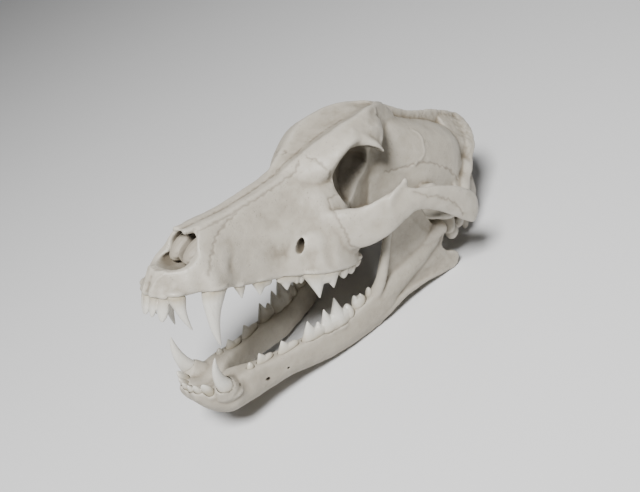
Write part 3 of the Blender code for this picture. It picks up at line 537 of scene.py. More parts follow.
def left_ridges():
    """The nuchal crest, the brow horn, the temporal line and the cheek arch with its own small horn."""
    return [
        bar([(-15, 0, 76, 4, 2.2), (-13, 8, 72, 5, 1.8), (-9.5, 15.5, 64.5, 6, 1.8),
             (-4, 21, 55.5, 6, 1.9), (4, 26.5, 46, 5.5, 2.1), (12, 32, 35, 4.6, 2.6),
             (17, 36.5, 24, 4.5, 3.5), (18, 37.5, 14, 3.6, 3)],
            across=(-1, 0.5, 0)),
        bar([(114, 22, 78, 6, 6), (107, 28, 75, 4.5, 5), (101, 32.2, 71.6, 2.6, 4),
             (96.8, 34.8, 67.8, 1, 1.8)]),
        hull(BROW_FACE),
        hull(BACK_CORNER),
        bar([(86, 17.6, 88.6, 1.2, 1.2), (83.6, 13.6, 91.4, 1.4, 1.6), (75, 6.5, 93.2, 1.5, 2),
             (64, 1.5, 91.6, 1.5, 1.6)]),
        bar([(144, 28, 27, 11, 5), (134, 38, 26, 12.5, 5), (125.5, 46, 27, 12.4, 4.4),
             (115, 53.5, 33.6, 11.4, 3.4), (104, 58.3, 40.4, 9.6, 3.2), (95, 62, 41.8, 7, 3),
             (83, 65.5, 41, 7.8, 3), (70, 67.8, 38, 9.2, 3), (58, 69, 33.2, 9.8, 3.4),
             (49.5, 67.6, 28.8, 8.8, 4.2), (45.6, 59, 26, 6.2, 5), (48, 46.5, 27, 6, 7),
             (52, 32, 33, 9, 9)], sides=24),
        bar([(109, 55.8, 37, 8, 2.6), (108, 56.2, 42, 8, 2.5), (105.4, 57, 46.4, 6.3, 2.3),
             (102.8, 57.2, 50.4, 3.6, 1.9), (101.2, 56.8, 54.2, 1.5, 1.3)], across=(1, 0, 0)),
    ]


# %% Forms round the left teeth and under the skull
def left_root_bulges():
    """The swellings over the roots of the largest teeth, and low ones over the incisors."""
    bulges = [
        [(219.5, 20.6, 4, 8, 6), (216, 20.2, 11, 7.6, 5), (210, 18, 20, 7, 3.4), (203, 13, 29, 6, 2)],
        [(238.6, 12.4, 4.5, 5.6, 4.4), (236, 12.2, 10, 4.6, 3.4), (232, 12, 15, 3, 2)],
        [(156, 32.2, 3, 6.4, 4.6), (155.5, 30.2, 10, 5, 3.2)],
        [(145.5, 37, 3.4, 5, 4), (145, 35.6, 9, 4, 3)],
        [(246.6, 3.3, 3, 2.8, 2.3), (245.2, 3.3, 9, 2.4, 2), (242, 3.4, 15, 1.6, 1.6)],
        [(243.9, 8.6, 3, 2.8, 2.6), (241.8, 8.3, 9, 2.4, 2.2), (238.6, 8, 14, 1.6, 1.6)],
    ]
    return [bar(stops, across=(1, 0, 0)) for stops in bulges]


def left_base():
    """The cheek under the eye, the wing plates, the ear, the neck joint and the processes beside it."""
    return [
        ball((133, 30, 18), (17, 11.5, 14), turn=-20),
        ball((150, 28.6, 15), (15, 7.6, 13), turn=-25),
        bar([(116, 17, 15, 8, 4), (104, 13, 14, 8, 2.6), (90, 11, 14, 7.5, 1.9),
             (79, 10.5, 14, 6.5, 1.8), (74, 10.5, 11, 4, 1.5)]),
        bar([(78, 10.5, 10, 2.4, 1.5), (74.8, 10.5, 6.6, 1.3, 1.2)], across=(1, 0, 0)),
        ball((36, 20, 11.5), (14.5, 10.5, 11), turn=-14),
        ball((4.5, 14.5, 20.5), (7.5, 7.0, 9.5), turn=22, tilt=-12),
        bar([(14, 29, 24, 8, 6), (12, 31.5, 14, 5.6, 4.4), (10.8, 32.6, 6.5, 3.4, 2.8),
             (10, 33, 2.6, 1.8, 1.6)],
            across=(1, 0, 0)),
        ball((20, 34.6, 20), (8.5, 5, 9)),
        ball((38, 30, 19), (7, 6, 6.5)),
        bar([(49, 40, 21, 5, 9), (46.5, 44, 14, 2.6, 9), (46.5, 45, 8.5, 1.8, 6)], across=(1, 0, 0)),
        ball((57, 46, 25), (9, 14, 5.2)),
        ball((65, 46, 24), (4.5, 9, 3)),
        ball((41, 45, 8.5), (4.2, 4.8, 6)),
        ball((32.5, 43, 14), (4.6, 4.4, 6)),
    ]


LIP_WIDTH = 1
LIP_HEIGHT = 2.4


def socket_rims(teeth, rise):
    """The raised lips of bone round the necks of the teeth."""
    rims = []
    for _, root, _, length, width, *rest in teeth:
        place = (root[0], root[1], root[2] + rise)
        size = (length / 2 + LIP_WIDTH, width / 2 + LIP_WIDTH, LIP_HEIGHT)
        rims.append(ball(place, size, turn=rest[0] if rest else 0))
    return rims


# %% Build the cranium
CRANIUM_VOXEL = 0.7
left_forms = left_ridges() + left_root_bulges() + left_base() + socket_rims(UPPER_TEETH, rise=1.4)
left_half = joined("left_half", left_forms)
midline = [muzzle(), forehead(), braincase(), sagittal_crest(), occiput(), skull_base()]
cranium_bone = joined("cranium_bone", midline + [left_half, mirrored(left_half)])
skinned(cranium_bone, CRANIUM_VOXEL, rounds=6)
print("cranium skin", triangles(cranium_bone), "triangles")

# %% [markdown]
# The openings of a skull are as telling as its bone: the nose, the eye sockets, the hole under each eye
# for the nerve of the lip, the ear holes and the great hole for the spinal cord. They could be modelled
# as dents. A Boolean with one cutter of many bodies goes right in, as the real ones do.

# %% Carve the openings
JOINT_RADIUS = 5.6
NASAL_HALF_WIDTH = 6.8
NOSE_NOTCH = [(216.5, 41), (221.4, 33.5), (224, 28.5), (225, 25), (227.8, 21.8), (231.8, 19.2),
              (236, 17.4), (240, 16.7), (244, 16.8), (252, 17.5), (252, 44), (232, 46)]


def left_openings():
    """The nose's side, the eye socket, nerve holes, the palate's slot, the ear and the jaw's groove."""
    notch = through(NOSE_NOTCH, 6, closed=True)
    return [
        loft([[(x, y, z) for x, z in notch] for y in (NASAL_HALF_WIDTH, 27)]),
        bar([(101.5, 13, 48.5, 16, 10.6), (104, 17, 50, 17.6, 13.6), (108, 23, 52, 18.8, 17),
             (111, 30, 53, 19.6, 20), (112, 38, 53, 20.5, 21.5), (112, 43, 53.4, 19.6, 20.5),
             (112, 48, 53.8, 16, 18)], sides=32, blunt=0.1),
        bar([(166, 30.6, 18.6, 4.4, 1.9), (157, 26.8, 19.8, 4.2, 1.8), (149, 24, 21, 2.8, 1.4)]),
        bar([(240, 4.8, 5, 2.4, 5), (230, 5.2, 5, 3, 6), (221, 5, 5, 2.2, 5)], across=(0, 1, 0)),
        bar([(37, 44, 19, 4, 4), (37, 34, 18, 3.6, 3.6), (37, 27, 17, 2.6, 2.6)]),
        bar([(HINGE.x, y, HINGE.z, JOINT_RADIUS, JOINT_RADIUS) for y in (32, 44, 60)]),
        bar([(88, 15, 22, 1.5, 1.9), (84, 8, 22, 1.3, 1.6)]),
        bar([(79, 15, 19, 1.6, 2.4), (74, 9, 19, 1.4, 1.8)]),
        bar([(127, 27, 37, 2.2, 2.8), (134, 26, 31, 1.8, 2.2)]),
    ]


cutters = joined("left_openings", left_openings())
cutters = joined("openings", [
    bar([(246, 0, 25.4, 9, 13), (226, 0, 25.4, 9.2, 13), (208, 0, 27, 9, 11.5),
         (190, 0, 28.5, 6, 7)], sides=32),
    bar([(238, 0, 18.6, 2.6, 9), (232, 0, 18.2, 3.8, 12.5), (224, 0, 18.5, 4.4, 14),
         (208, 0, 20.5, 4, 12)], sides=32),
    bar([(247, -14, 35.6, 7, 13), (243.6, -9.5, 36.4, 7, 13), (242.8, -6, 36.8, 7, 13),
         (238, 0, 37, 7, 13), (242.8, 6, 36.8, 7, 13), (243.6, 9.5, 36.4, 7, 13),
         (247, 14, 35.6, 7, 13)], sides=32),
    bar([(66, 0, 8, 8, 8), (80, 0, 11, 9, 7.6), (98, 0, 13.5, 8, 8), (114, 0, 16, 6, 8),
         (128, 0, 17, 3, 5)], sides=24),
    bar([(-12, 0, 21, 9, 11), (0, 0, 23, 8.6, 10.4), (14, 0, 26, 8, 9), (26, 0, 30, 5, 5)], sides=24),
    cutters,
    mirrored(cutters),
])
carved(cranium_bone, skinned(cutters, CRANIUM_VOXEL, rounds=2))
skinned(cranium_bone, CRANIUM_VOXEL, rounds=3)
carved(cranium_bone, upper_sockets)
print("cranium carved", triangles(cranium_bone), "triangles")

# %% [markdown]
# The lower jaw is two halves that meet at the chin. Each has a bar that holds the teeth and a thin
# upright plate behind it, with a thick front edge, an oblique ridge where the chewing muscle holds on,
# and a roller for the joint. It is drawn closed and swung open about its hinge at the end.

# %% Sizes of the lower jaw
JAW_INNER = [(97, 34), (104, 31), (112, 27.5), (120, 25.2), (132, 22.5), (150, 18.5), (170, 14.5),
             (190, 10.5), (205, 6), (216, 0.2), (244, 0.2)]
JAW_OUTER = [(97, 38.4), (104, 39), (112, 37.6), (120, 36.2), (132, 34.5), (150, 31), (170, 27),
             (190, 23.5), (206, 21.5), (216, 21.5), (226, 21), (234, 16.5), (240, 12), (243.5, 8)]
JAW_UPPER = [(97, -10), (104, -5), (112, -6.5), (130, -10.5), (145, -13.5), (170, -10.5), (190, -9),
             (206, -6), (216, -5), (228, -5.5), (236, -3), (243.5, -2)]
JAW_LOWER = [(97, -20), (104, -25), (116, -30.5), (133, -32), (150, -32.4), (170, -29.6), (186, -27),
             (209, -27.5), (224, -26), (232, -23), (238, -17), (243.5, -8)]
JAW_VOXEL = 0.62
SYMPHYSIS_GAP = 0.4
RAMUS_HALF_THICKNESS = 1.9


def jaw_body():
    inner, outer, upper, lower = map(smooth_curve, (JAW_INNER, JAW_OUTER, JAW_UPPER, JAW_LOWER))
    rings = []
    for x in stations(97, 243.5, 90):
        near, far, high, low = max(inner(x), SYMPHYSIS_GAP / 2), outer(x), upper(x), lower(x)
        middle, depth = (near + far) / 2, high - low
        lean = 0.5 * (far - near)
        outline = [(near + 0.25 * lean, high), (middle, high + 0.6), (far - 0.25 * lean, high),
                   (far, high - 0.35 * depth), (far - 0.1 * lean, low + 0.3 * depth),
                   (middle + 0.35 * lean, low + 0.04 * depth), (middle - 0.2 * lean, low),
                   (near + 0.25 * lean, low + 0.12 * depth), (near, low + 0.45 * depth),
                   (near, high - 0.2 * depth)]
        rings.append([(x, y, z) for y, z in through(outline, 4, closed=True)])
    return loft(rings)


def ramus_plate():
    outline = [(124, -14), (113, -7), (108.5, 1), (104.5, 10), (100, 21), (95.5, 32), (90, 42),
               (83, 48.5), (77, 49), (72, 44), (67, 34), (63, 24), (59.5, 18), (53, 14), (52.5, 6),
               (55.5, -1), (52, -7), (45, -11.5), (43.6, -16), (48.2, -21.6), (58, -21.3), (72, -20),
               (86, -20), (97, -21.5), (107, -25.2), (118, -29)]
    sheet = [(x, 33 + 0.18 * (115 - x) + 0.08 * max(z, 0), z)
             for x, z in through(outline, 6, closed=True)]
    faces = (-RAMUS_HALF_THICKNESS, RAMUS_HALF_THICKNESS)
    return loft([[(x, y + shift, z) for x, y, z in sheet] for shift in faces])


def jaw_ridges():
    roller = [(HINGE.x, y, HINGE.z, r, r) for y, r in ((34, 3.4), (39, 5), (47, 5), (51, 3.4))]
    return [
        bar([(113, 33, -8, 3, 4.2), (108.5, 36.5, 0, 3.2, 3.8), (103, 39.5, 13, 3, 3),
             (98, 41, 26, 2.6, 2.4), (91, 42.5, 39, 2.2, 2),
             (82, 43.6, 47, 1.8, 1.6)], across=(1, 0, 0)),
        bar([(122, 30.4, -16, 6, 2.6), (106, 35.8, -10, 8.5, 3.4), (94, 38.4, -5.5, 8.5, 3.4),
             (83, 40.4, -1.5, 8, 3.4), (72, 42.4, 2.5, 7, 3.4), (60, 44.4, 8.5, 5, 4.4)]),
        bar([(126, 30, -24, 3.4, 3.2), (110, 33.4, -23.6, 4, 4), (92, 37.6, -18.6, 3.2, 3),
             (72, 41, -18, 2.4, 2.6), (56, 43.6, -19.7, 2.5, 2.4), (47, 44.8, -18, 2.5, 2.2),
             (44.2, 45, -14, 1.8, 1.8)]),
        bar([(68, 43.5, 6, 5, 2.6), (61, 45, 11, 4.6, 5), (57, 46, 14, 4.4, 7)], across=(1, 0, 0)),
        bar(roller, sides=24),
        bar([(221, 12.5, -12, 8, 7.5), (226, 15.5, -7.5, 8.4, 7.6),
             (228.5, 17.5, -4.5, 8, 7)], across=(1, 0, 0)),
    ]


def jaw_openings():
    """The small holes for the nerves of the lip, and all that reaches past the seam at the chin."""
    seam = SYMPHYSIS_GAP / 2
    corners = [(-20, -45), (seam, -45), (seam, 30), (-20, 30)]
    return [
        loft([[(x, y, z) for y, z in corners] for x in (190, SNOUT_TIP)]),
        bar([(204, 25, -15.5, 0.9, 1.3), (199, 19, -16.5, 0.8, 1.1)]),
        bar([(188, 26, -17, 0.7, 0.9), (184, 21, -18, 0.7, 0.8)]),
        bar([(87, 32, -3, 2.2, 3.4), (80, 39, -4, 1.6, 2.4)]),
    ]


# %% Build the lower jaw
jaw_forms = [jaw_body(), ramus_plate()] + jaw_ridges() + socket_rims(LOWER_TEETH, rise=-1.2)
mandible_left_bone = joined("mandible_left_bone", jaw_forms)
skinned(mandible_left_bone, JAW_VOXEL, rounds=8)
for cutter in jaw_openings() + [lower_sockets]:
    carved(mandible_left_bone, cutter)
mandible_right_bone = mirrored(mandible_left_bone)
mandible_right_bone.name = "mandible_right_bone"
print("jaw half", triangles(mandible_left_bone), "triangles")

# %% [markdown]
# Real bone isn't smooth: seams wander between the bones of the skull, muscles leave rough ridges, and the
# snout is finely pitted. A texture's bump could draw all of it, but then the edges stay clean. So the
# larger marks are pressed into the mesh here, as with a sculpting brush, and the finest ones come from
# the material. The seams wander at random, with a fixed seed, so they run the same way each time. Other
# marks only say how deep each point lies and how much of the open air round it is shut off, so that the
# material can paint shade there, the same from every side.

# %% Brushes
NOISE_FALL = 0.9
NOISE_STEP = 2.1
NOISE_LAYERS = 3


def read_points(piece):
    points = np.empty(len(piece.data.vertices) * 3)
    piece.data.vertices.foreach_get("co", points)
    return points.reshape(-1, 3)


def read_normals(piece):
    normals = np.empty(len(piece.data.vertices) * 3)
    piece.data.vertex_normals.foreach_get("vector", normals)
    return normals.reshape(-1, 3)


def write_points(piece, points):
    piece.data.vertices.foreach_set("co", points.ravel())
    piece.data.update()


def even(points):
    """The same points folded onto the left side, for marks that both sides have."""
    return points * (1, 0, 1) + np.abs(points) * (0, 1, 0)


def brushed(piece, marks):
    """Swells or dents the skin: each mark has its centre, its reach along X, Y and Z, and its height."""
    points, normals = read_points(piece), read_normals(piece)
    left = even(points)
    lift = np.zeros(len(points))
    for centre, reach, height in marks:
        lift += height * np.exp(-(((left - centre) / reach) ** 2).sum(axis=1))
    write_points(piece, points + normals * lift[:, None])


def roughened(piece, size, depth, where):
    """Uneven bone where where(points) is above 0."""
    points, normals = read_points(piece), read_normals(piece)
    share = where(even(points))
    touched = np.nonzero(share > 0.01)[0]
    lift = np.zeros(len(points))
    lift[touched] = [noise.fractal(Vector(p) / size, NOISE_FALL, NOISE_STEP, NOISE_LAYERS)
                     for p in points[touched]]
    write_points(piece, points + normals * (lift * share * depth)[:, None])


def everywhere(points):
    return np.ones(len(points))


# %% Wandering lines
WAVE_LENGTH = 2.6
SEAM_SEED = 5
noise.seed_set(SEAM_SEED)


def on_skin(piece, line):
    """Places along a line, each moved to the nearest point of the skin."""
    return np.array([piece.closest_point_on_mesh(Vector(p))[1] for p in through(line, 6)])


def distance_to(points, places):
    """How far each point lies from a line through the given places."""
    found = np.full(len(points), 1e9)
    for a, b in zip(places[:-1], places[1:]):
        along = b - a
        t = np.clip(((points - a) @ along) / (along @ along), 0, 1)
        found = np.minimum(found, np.linalg.norm(points - a - t[:, None] * along, axis=1))
    return found


def wandering(points, normals, reach):
    """The points pushed about along the skin, so that a line drawn through them wanders."""
    shift = reach * np.array([noise.noise_vector(Vector(p) / WAVE_LENGTH) for p in points])
    return points + shift - normals * (shift * normals).sum(axis=1)[:, None]


def lined(piece, lines, width, depth, sway):
    """Presses thin lines into the skin, or raises them where depth is below 0.

    Returns 1 on a line and less beside it, for each point.
    """
    points, normals = read_points(piece), read_normals(piece)
    left_normals = normals * np.where(points[:, 1:2] < 0, (1, -1, 1), (1, 1, 1))
    left = wandering(even(points), left_normals, sway)
    near = np.min([distance_to(left, on_skin(piece, line)) for line in lines], axis=0)
    groove = np.exp(-((near / width) ** 2))
    write_points(piece, points - normals * (depth * groove)[:, None])
    return groove


# %% Marks for the material
OWN_SHARE = 0.4
HOLLOW_DEPTH = 0.7


def mark(piece, name, values):
    """Keeps a number from 0 to 1 for each point of the skin, for the material to read."""
    piece.data.attributes.new(name, "FLOAT", "POINT").data.foreach_set("value", np.clip(values, 0, 1))


def softened(piece, values, rounds):
    """Each point's values drawn towards its neighbours' values, a few times over."""
    count = len(values)
    ends = np.empty(len(piece.data.edges) * 2, dtype=int)
    piece.data.edges.foreach_get("vertices", ends)
    a, b = ends.reshape(-1, 2).T
    links = np.bincount(a, minlength=count) + np.bincount(b, minlength=count)
    for _ in range(rounds):
        sums = [np.bincount(a, v[b], count) + np.bincount(b, v[a], count) for v in values.T]
        values = OWN_SHARE * values + (1 - OWN_SHARE) * np.stack(sums, 1) / links[:, None]
    return values


def hollows(piece, rounds=24):
    """Marks how deep each point lies below its smoothed surroundings."""
    start = read_points(piece)
    depth = ((softened(piece, start, rounds) - start) * read_normals(piece)).sum(axis=1)
    mark(piece, "hollow", depth / HOLLOW_DEPTH)
    mark(piece, "ridge", -depth / HOLLOW_DEPTH)


# %% A mark for shelter
SHELTER_RAYS = 24
SHELTER_REACH = 60
SHELTER_START = 0.3
GRAZING = 0.15
GOLDEN_ANGLE = math.pi * (3 - math.sqrt(5))


def shelter(piece):
    """Marks how much of the open air round each point is shut off by the piece itself, for painted shade."""
    tree = BVHTree.FromObject(piece, bpy.context.evaluated_depsgraph_get())
    points, normals = read_points(piece), read_normals(piece)
    starts = [Vector(p) for p in points + SHELTER_START * normals]
    shut, seen = np.zeros(len(points)), np.full(len(points), 1e-6)
    for k in range(SHELTER_RAYS):
        z = 1 - (2 * k + 1) / SHELTER_RAYS
        flat = math.sqrt(1 - z * z)
        way = Vector((flat * math.cos(GOLDEN_ANGLE * k), flat * math.sin(GOLDEN_ANGLE * k), z))
        facing = normals @ np.array(way)
        for i in np.nonzero(facing > GRAZING)[0]:
            seen[i] += facing[i]
            if tree.ray_cast(starts[i], way, SHELTER_REACH)[0]:
                shut[i] += facing[i]
    mark(piece, "shelter", softened(piece, (shut / seen)[:, None], rounds=5)[:, 0])


# %% Where the cranium's marks are
SEAMS = [
    [(231, 0, 36), (190, 0, 45), (160, 0, 56), (140, 0, 64), (118, 0, 78), (100, 0, 86)],
    [(249.4, 0, 5), (246, 0, 12), (241, 0, 17.5)],
    [(230, 10, 33), (205, 9.6, 39.5), (175, 9.4, 48.5), (152, 10, 57), (139, 8, 64)],
    [(227, 23, 7), (216, 18, 27), (206, 13.6, 36), (192, 10.6, 43)],
    [(139, 8, 64), (135, 18, 63), (132, 27, 55), (131, 31, 47)],
    [(139, 33, 38), (138.5, 38, 31), (136, 42, 24), (136.5, 44, 17), (131, 46, 13)],
    [(131, 31, 47), (138, 31, 45), (139.5, 33, 38), (133, 36, 37)],
    [(99, 61, 46), (90, 65, 43.5), (79, 69, 40.5), (69, 71.5, 35), (62, 72, 28)],
    [(78, 18, 50), (66, 24, 52), (52, 29, 54), (38, 31, 51), (26, 32, 45), (18, 33, 38)],
]
DENTS = [
    ((172, 24, 16), (11, 8, 7), -1.6),
    ((168, 17, 38), (14, 8, 8), -0.5),
    ((195, 18, 22), (12, 6, 8), -0.6),
    ((146, 25, 45), (7, 6, 5), 0.8),
    ((153, 30, 7), (2, 6, 6), -0.4),
    ((162, 27, 9), (2, 6, 6), -0.4),
    ((207, 21, 14), (3, 6, 10), -0.4),
    ((60, 22, 70), (9, 9, 9), -0.8),
    ((229.6, 22, 8), (3, 5, 7), -0.9),
    ((118, 50, 28), (9, 5, 3.5), -0.7),
    ((-4, 20, 60), (5, 5, 4), 1.3),
    ((0, 24.5, 51.5), (6, 6, 4), -1.4),
    ((5, 28, 45.5), (5, 5, 4), 0.6),
    ((10, 31, 39), (5, 5, 4), -0.8),
    ((152, 32, 13), (2.6, 8, 8), 0.9),
    ((158, 30, 11), (3, 8, 6), -0.6),
    ((143, 37, 10), (2.4, 8, 6), 0.6),
    ((60, 70, 33), (10, 6, 5), 0.4),
]
VESSEL_LINES = [
    [(51.7, 20, 75.3), (48, 22, 70.4), (48.1, 24.5, 64.7), (49.8, 26.5, 58.5), (54.8, 27.5, 54.6),
     (60, 28, 52.7)],
    [(249.2, 3.3, 4.5), (248, 3.9, 8.4), (246.4, 4.6, 11.2), (244.2, 6.2, 13.6), (241, 8, 15.4)],
]

# %% Press the marks into the cranium
MOST_TRIANGLES = 190000


def crests(points):
    """Where the crests at the top and the back are."""
    x, y, z = points.T
    back = np.exp(-np.clip(x + 4, 0, None) / 5) * (z > 20)
    keel = np.exp(-(y / 2.5) ** 2) * (z > 74) * (x < 70)
    return np.clip(back + keel, 0, 1)


brushed(cranium_bone, DENTS)
mark(cranium_bone, "seam", lined(cranium_bone, SEAMS, width=0.7, depth=0.35, sway=1.6))
lined(cranium_bone, VESSEL_LINES, width=0.8, depth=-0.5, sway=0.4)
roughened(cranium_bone, size=3.0, depth=0.4, where=crests)
roughened(cranium_bone, size=9.0, depth=0.3, where=everywhere)
applied(cranium_bone, "DECIMATE", ratio=MOST_TRIANGLES / triangles(cranium_bone))
hollows(cranium_bone)
shelter(cranium_bone)
print("cranium", triangles(cranium_bone), "triangles")

# %% Press the marks into the jaw halves
JAW_DENTS = [
    ((84, 44, 17), (10, 6, 11), -1.5),
    ((96, 42, 6), (6, 6, 7), -0.9),
    ((76, 45, -13), (14, 6, 4), -0.9),
    ((201, 23, -14), (5, 4, 4), -0.5),
    ((216, 23, -9), (3, 6, 7), -1.2),
    ((223, 24, -13), (9, 6, 5), 0.7),
]


def muscle_marks(points):
    """Where the chewing muscles held on: the rear of the jaw and its lower edge."""
    x, _, z = points.T
    rear = np.exp(-np.clip(x - 62, 0, None) / 12)
    lower_edge = np.exp(-((z + 24) / 5) ** 2)
    return 0.8 * rear + 0.3 * lower_edge


for bone in (mandible_left_bone, mandible_right_bone):
    brushed(bone, JAW_DENTS)
    roughened(bone, size=5.0, depth=0.25, where=muscle_marks)
    roughened(bone, size=9.0, depth=0.3, where=everywhere)
    hollows(bone)
    shelter(bone)
    print(bone.name, triangles(bone), "triangles")

# %% [markdown]
# Inside the nose stand masses of paper-thin, folded bone that once warmed the air. They fill the opening
# as pale ridges with dark gaps. Single sheets would be truer, but only their front ends can be seen, so
# each mass is one blunt body whose section is drawn as a wave.

# %% Folded bone inside the nose
FOLD_POINTS = 96
FOLD_DEPTH = 0.03
FOLD_LEAN = 0.35


def folded(stops, folds):
    """A blunt mass through stops of (x, y, z, half height, half width), folded along its length."""
    turns = [2 * math.pi * k / FOLD_POINTS for k in range(FOLD_POINTS)]
    rings = []
    for x, y, z, high, wide in through(stops, 8):
        reach = [1 + FOLD_DEPTH * math.cos(folds * a + x / 6) for a in turns]
        ups = [high * r * math.cos(a) for a, r in zip(turns, reach)]
        outs = [wide * r * math.sin(a) for a, r in zip(turns, reach)]
        rings.append([(x - FOLD_LEAN * up, y + out, z + up) for up, out in zip(ups, outs)])
    return loft(rings)


left_folds = folded([(192, 6.6, 26, 7, 5), (212, 7.2, 25.2, 8, 6), (218, 7.2, 24.4, 8, 6),
                     (222, 7, 23.4, 7, 5.4), (225, 6.8, 22.4, 5.4, 4.4), (227, 6.7, 21.6, 3.2, 2.8),
                     (227.8, 6.6, 21.2, 1, 1)], folds=9)
partition = bar([(190, 0, 27, 8, 0.5), (207, 0, 26, 9, 0.5), (219, 0, 23, 7, 0.5),
                 (226, 0, 19, 4, 0.6)])
nose_scrolls = joined("nose_scrolls", [left_folds, mirrored(left_folds), partition])
print("nose scrolls", triangles(nose_scrolls), "triangles")

# %% Mark the necks of the teeth
STAIN_HEIGHT = 7
TOOTH_THINNING = 0.6


def necks(piece, gum, side):
    """Marks how near each point of a crown is to the bone: side is -1 for teeth that point down."""
    points = read_points(piece)
    level = np.array([gum(x) for x in points[:, 0]])
    mark(piece, "neck", 1 - (points[:, 2] - level) * side / STAIN_HEIGHT)


necks(upper_teeth, smooth_curve(GUM_LINE), side=-1)
for teeth in (lower_teeth_left, lower_teeth_right):
    necks(teeth, smooth_curve(JAW_UPPER), side=1)
for teeth in (upper_teeth, lower_teeth_left, lower_teeth_right):
    hollows(teeth, rounds=8)
    applied(teeth, "DECIMATE", ratio=TOOTH_THINNING)
    print(teeth.name, triangles(teeth), "triangles")

# %% [markdown]
# Everything is now drawn with the mouth closed, in millimetres. The jaw swings open about its joint, and
# then all of it is laid down in the world. The matrices go into the meshes, so each object stays at the
# origin, unturned and unscaled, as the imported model's own do. The brushes may have pushed a spot of bone a
# hair below the floor, and it is worn flat there, as on a bone that has lain on a table for years.

# %% Lay the skull down
for piece in (mandible_left_bone, mandible_right_bone, lower_teeth_left, lower_teeth_right):
    piece.data.transform(swing)
skull = [cranium_bone, upper_teeth, nose_scrolls,
         mandible_left_bone, lower_teeth_left, mandible_right_bone, lower_teeth_right]
for piece in skull:
    piece.data.transform(to_world)
    points = read_points(piece)
    print(piece.name, "lowest at", round(points[:, 2].min(), 5))
    write_points(piece, points * (1, 1, 0) + np.maximum(points, 0) * (0, 0, 1))
    piece.data.shade_smooth()

# %% [markdown]
# Dry bone is dull and slightly warm, paler on worn ridges and darker in its seams, where dust and old fat
# stay. Painted shade darkens its hollows and the places the open air hardly reaches. It is finely pitted,
# and a faint grain runs along the snout. One node group makes all of that from Object coordinates and from
# the marks kept on the skin, so it can't slide or depend on the camera. The three bone materials use it
# with their own values.

# %% Helpers for shader nodes
def add_node(tree, kind, sockets, **settings):
    """Adds a node, sets its properties and sockets, and links what is given as an output."""
    node = tree.nodes.new(kind)
    for name, value in settings.items():
        setattr(node, name, value)
    for socket, value in sockets.items():
        if isinstance(value, bpy.types.NodeSocket):
            tree.links.new(value, node.inputs[socket])
        else:
            node.inputs[socket].default_value = value
    return node


def blend(tree, share, first, second):
    """Mixes two colours."""
    return add_node(tree, "ShaderNodeMix", {0: share, 6: first, 7: second}, data_type="RGBA").outputs[2]


def times(tree, first, second):
    """The product of two values, kept between 0 and 1."""
    sockets = {0: first, 1: second}
    return add_node(tree, "ShaderNodeMath", sockets, operation="MULTIPLY", use_clamp=True).outputs[0]


def weighed(tree, start, *terms, clamp=False):
    """A number plus some values, each times its own weight."""
    for value, weight in terms:
        sockets = {0: value, 1: weight, 2: start}
        node = add_node(tree, "ShaderNodeMath", sockets, operation="MULTIPLY_ADD")
        start = node.outputs[0]
    node.use_clamp = clamp
    return start


def ramp(tree, value, low, high, start=0.0, end=1.0):
    """Turns low to high of a value into start to end."""
    sockets = {"Value": value, "From Min": low, "From Max": high, "To Min": start, "To Max": end}
    return add_node(tree, "ShaderNodeMapRange", sockets).outputs[0]


def clouds(tree, place, scale, detail, roughness=0.5):
    sockets = {"Vector": place, "Scale": scale, "Detail": detail, "Roughness": roughness}
    return add_node(tree, "ShaderNodeTexNoise", sockets).outputs["Fac"]


def along_skull(tree, place, scale):
    """The place, turned as the skull lies, with its own scale along each axis."""
    sockets = {"Vector": place, "Rotation": (math.radians(NOSE_LIFT), 0, 0), "Scale": scale}
    return add_node(tree, "ShaderNodeMapping", sockets).outputs[0]


def read_mark(tree, name):
    return add_node(tree, "ShaderNodeAttribute", {}, attribute_name=name).outputs["Fac"]


# %% The aged bone node group
PAINTED_SHADE = (0.09, 0.075, 0.055, 1)
WORN_BONE = (0.6, 0.57, 0.5, 1)
SEAM_DIRT = (0.12, 0.1, 0.08, 1)
PIT_DIRT = (0.16, 0.14, 0.11, 1)


def new_group(name, inputs, outputs):
    tree = bpy.data.node_groups.new(name, "ShaderNodeTree")
    for socket, kind, value in inputs:
        made = tree.interface.new_socket(socket, in_out="INPUT", socket_type=kind)
        made.default_value = value
    for socket, kind in outputs:
        tree.interface.new_socket(socket, in_out="OUTPUT", socket_type=kind)
    return tree, tree.nodes.new("NodeGroupInput"), tree.nodes.new("NodeGroupOutput")


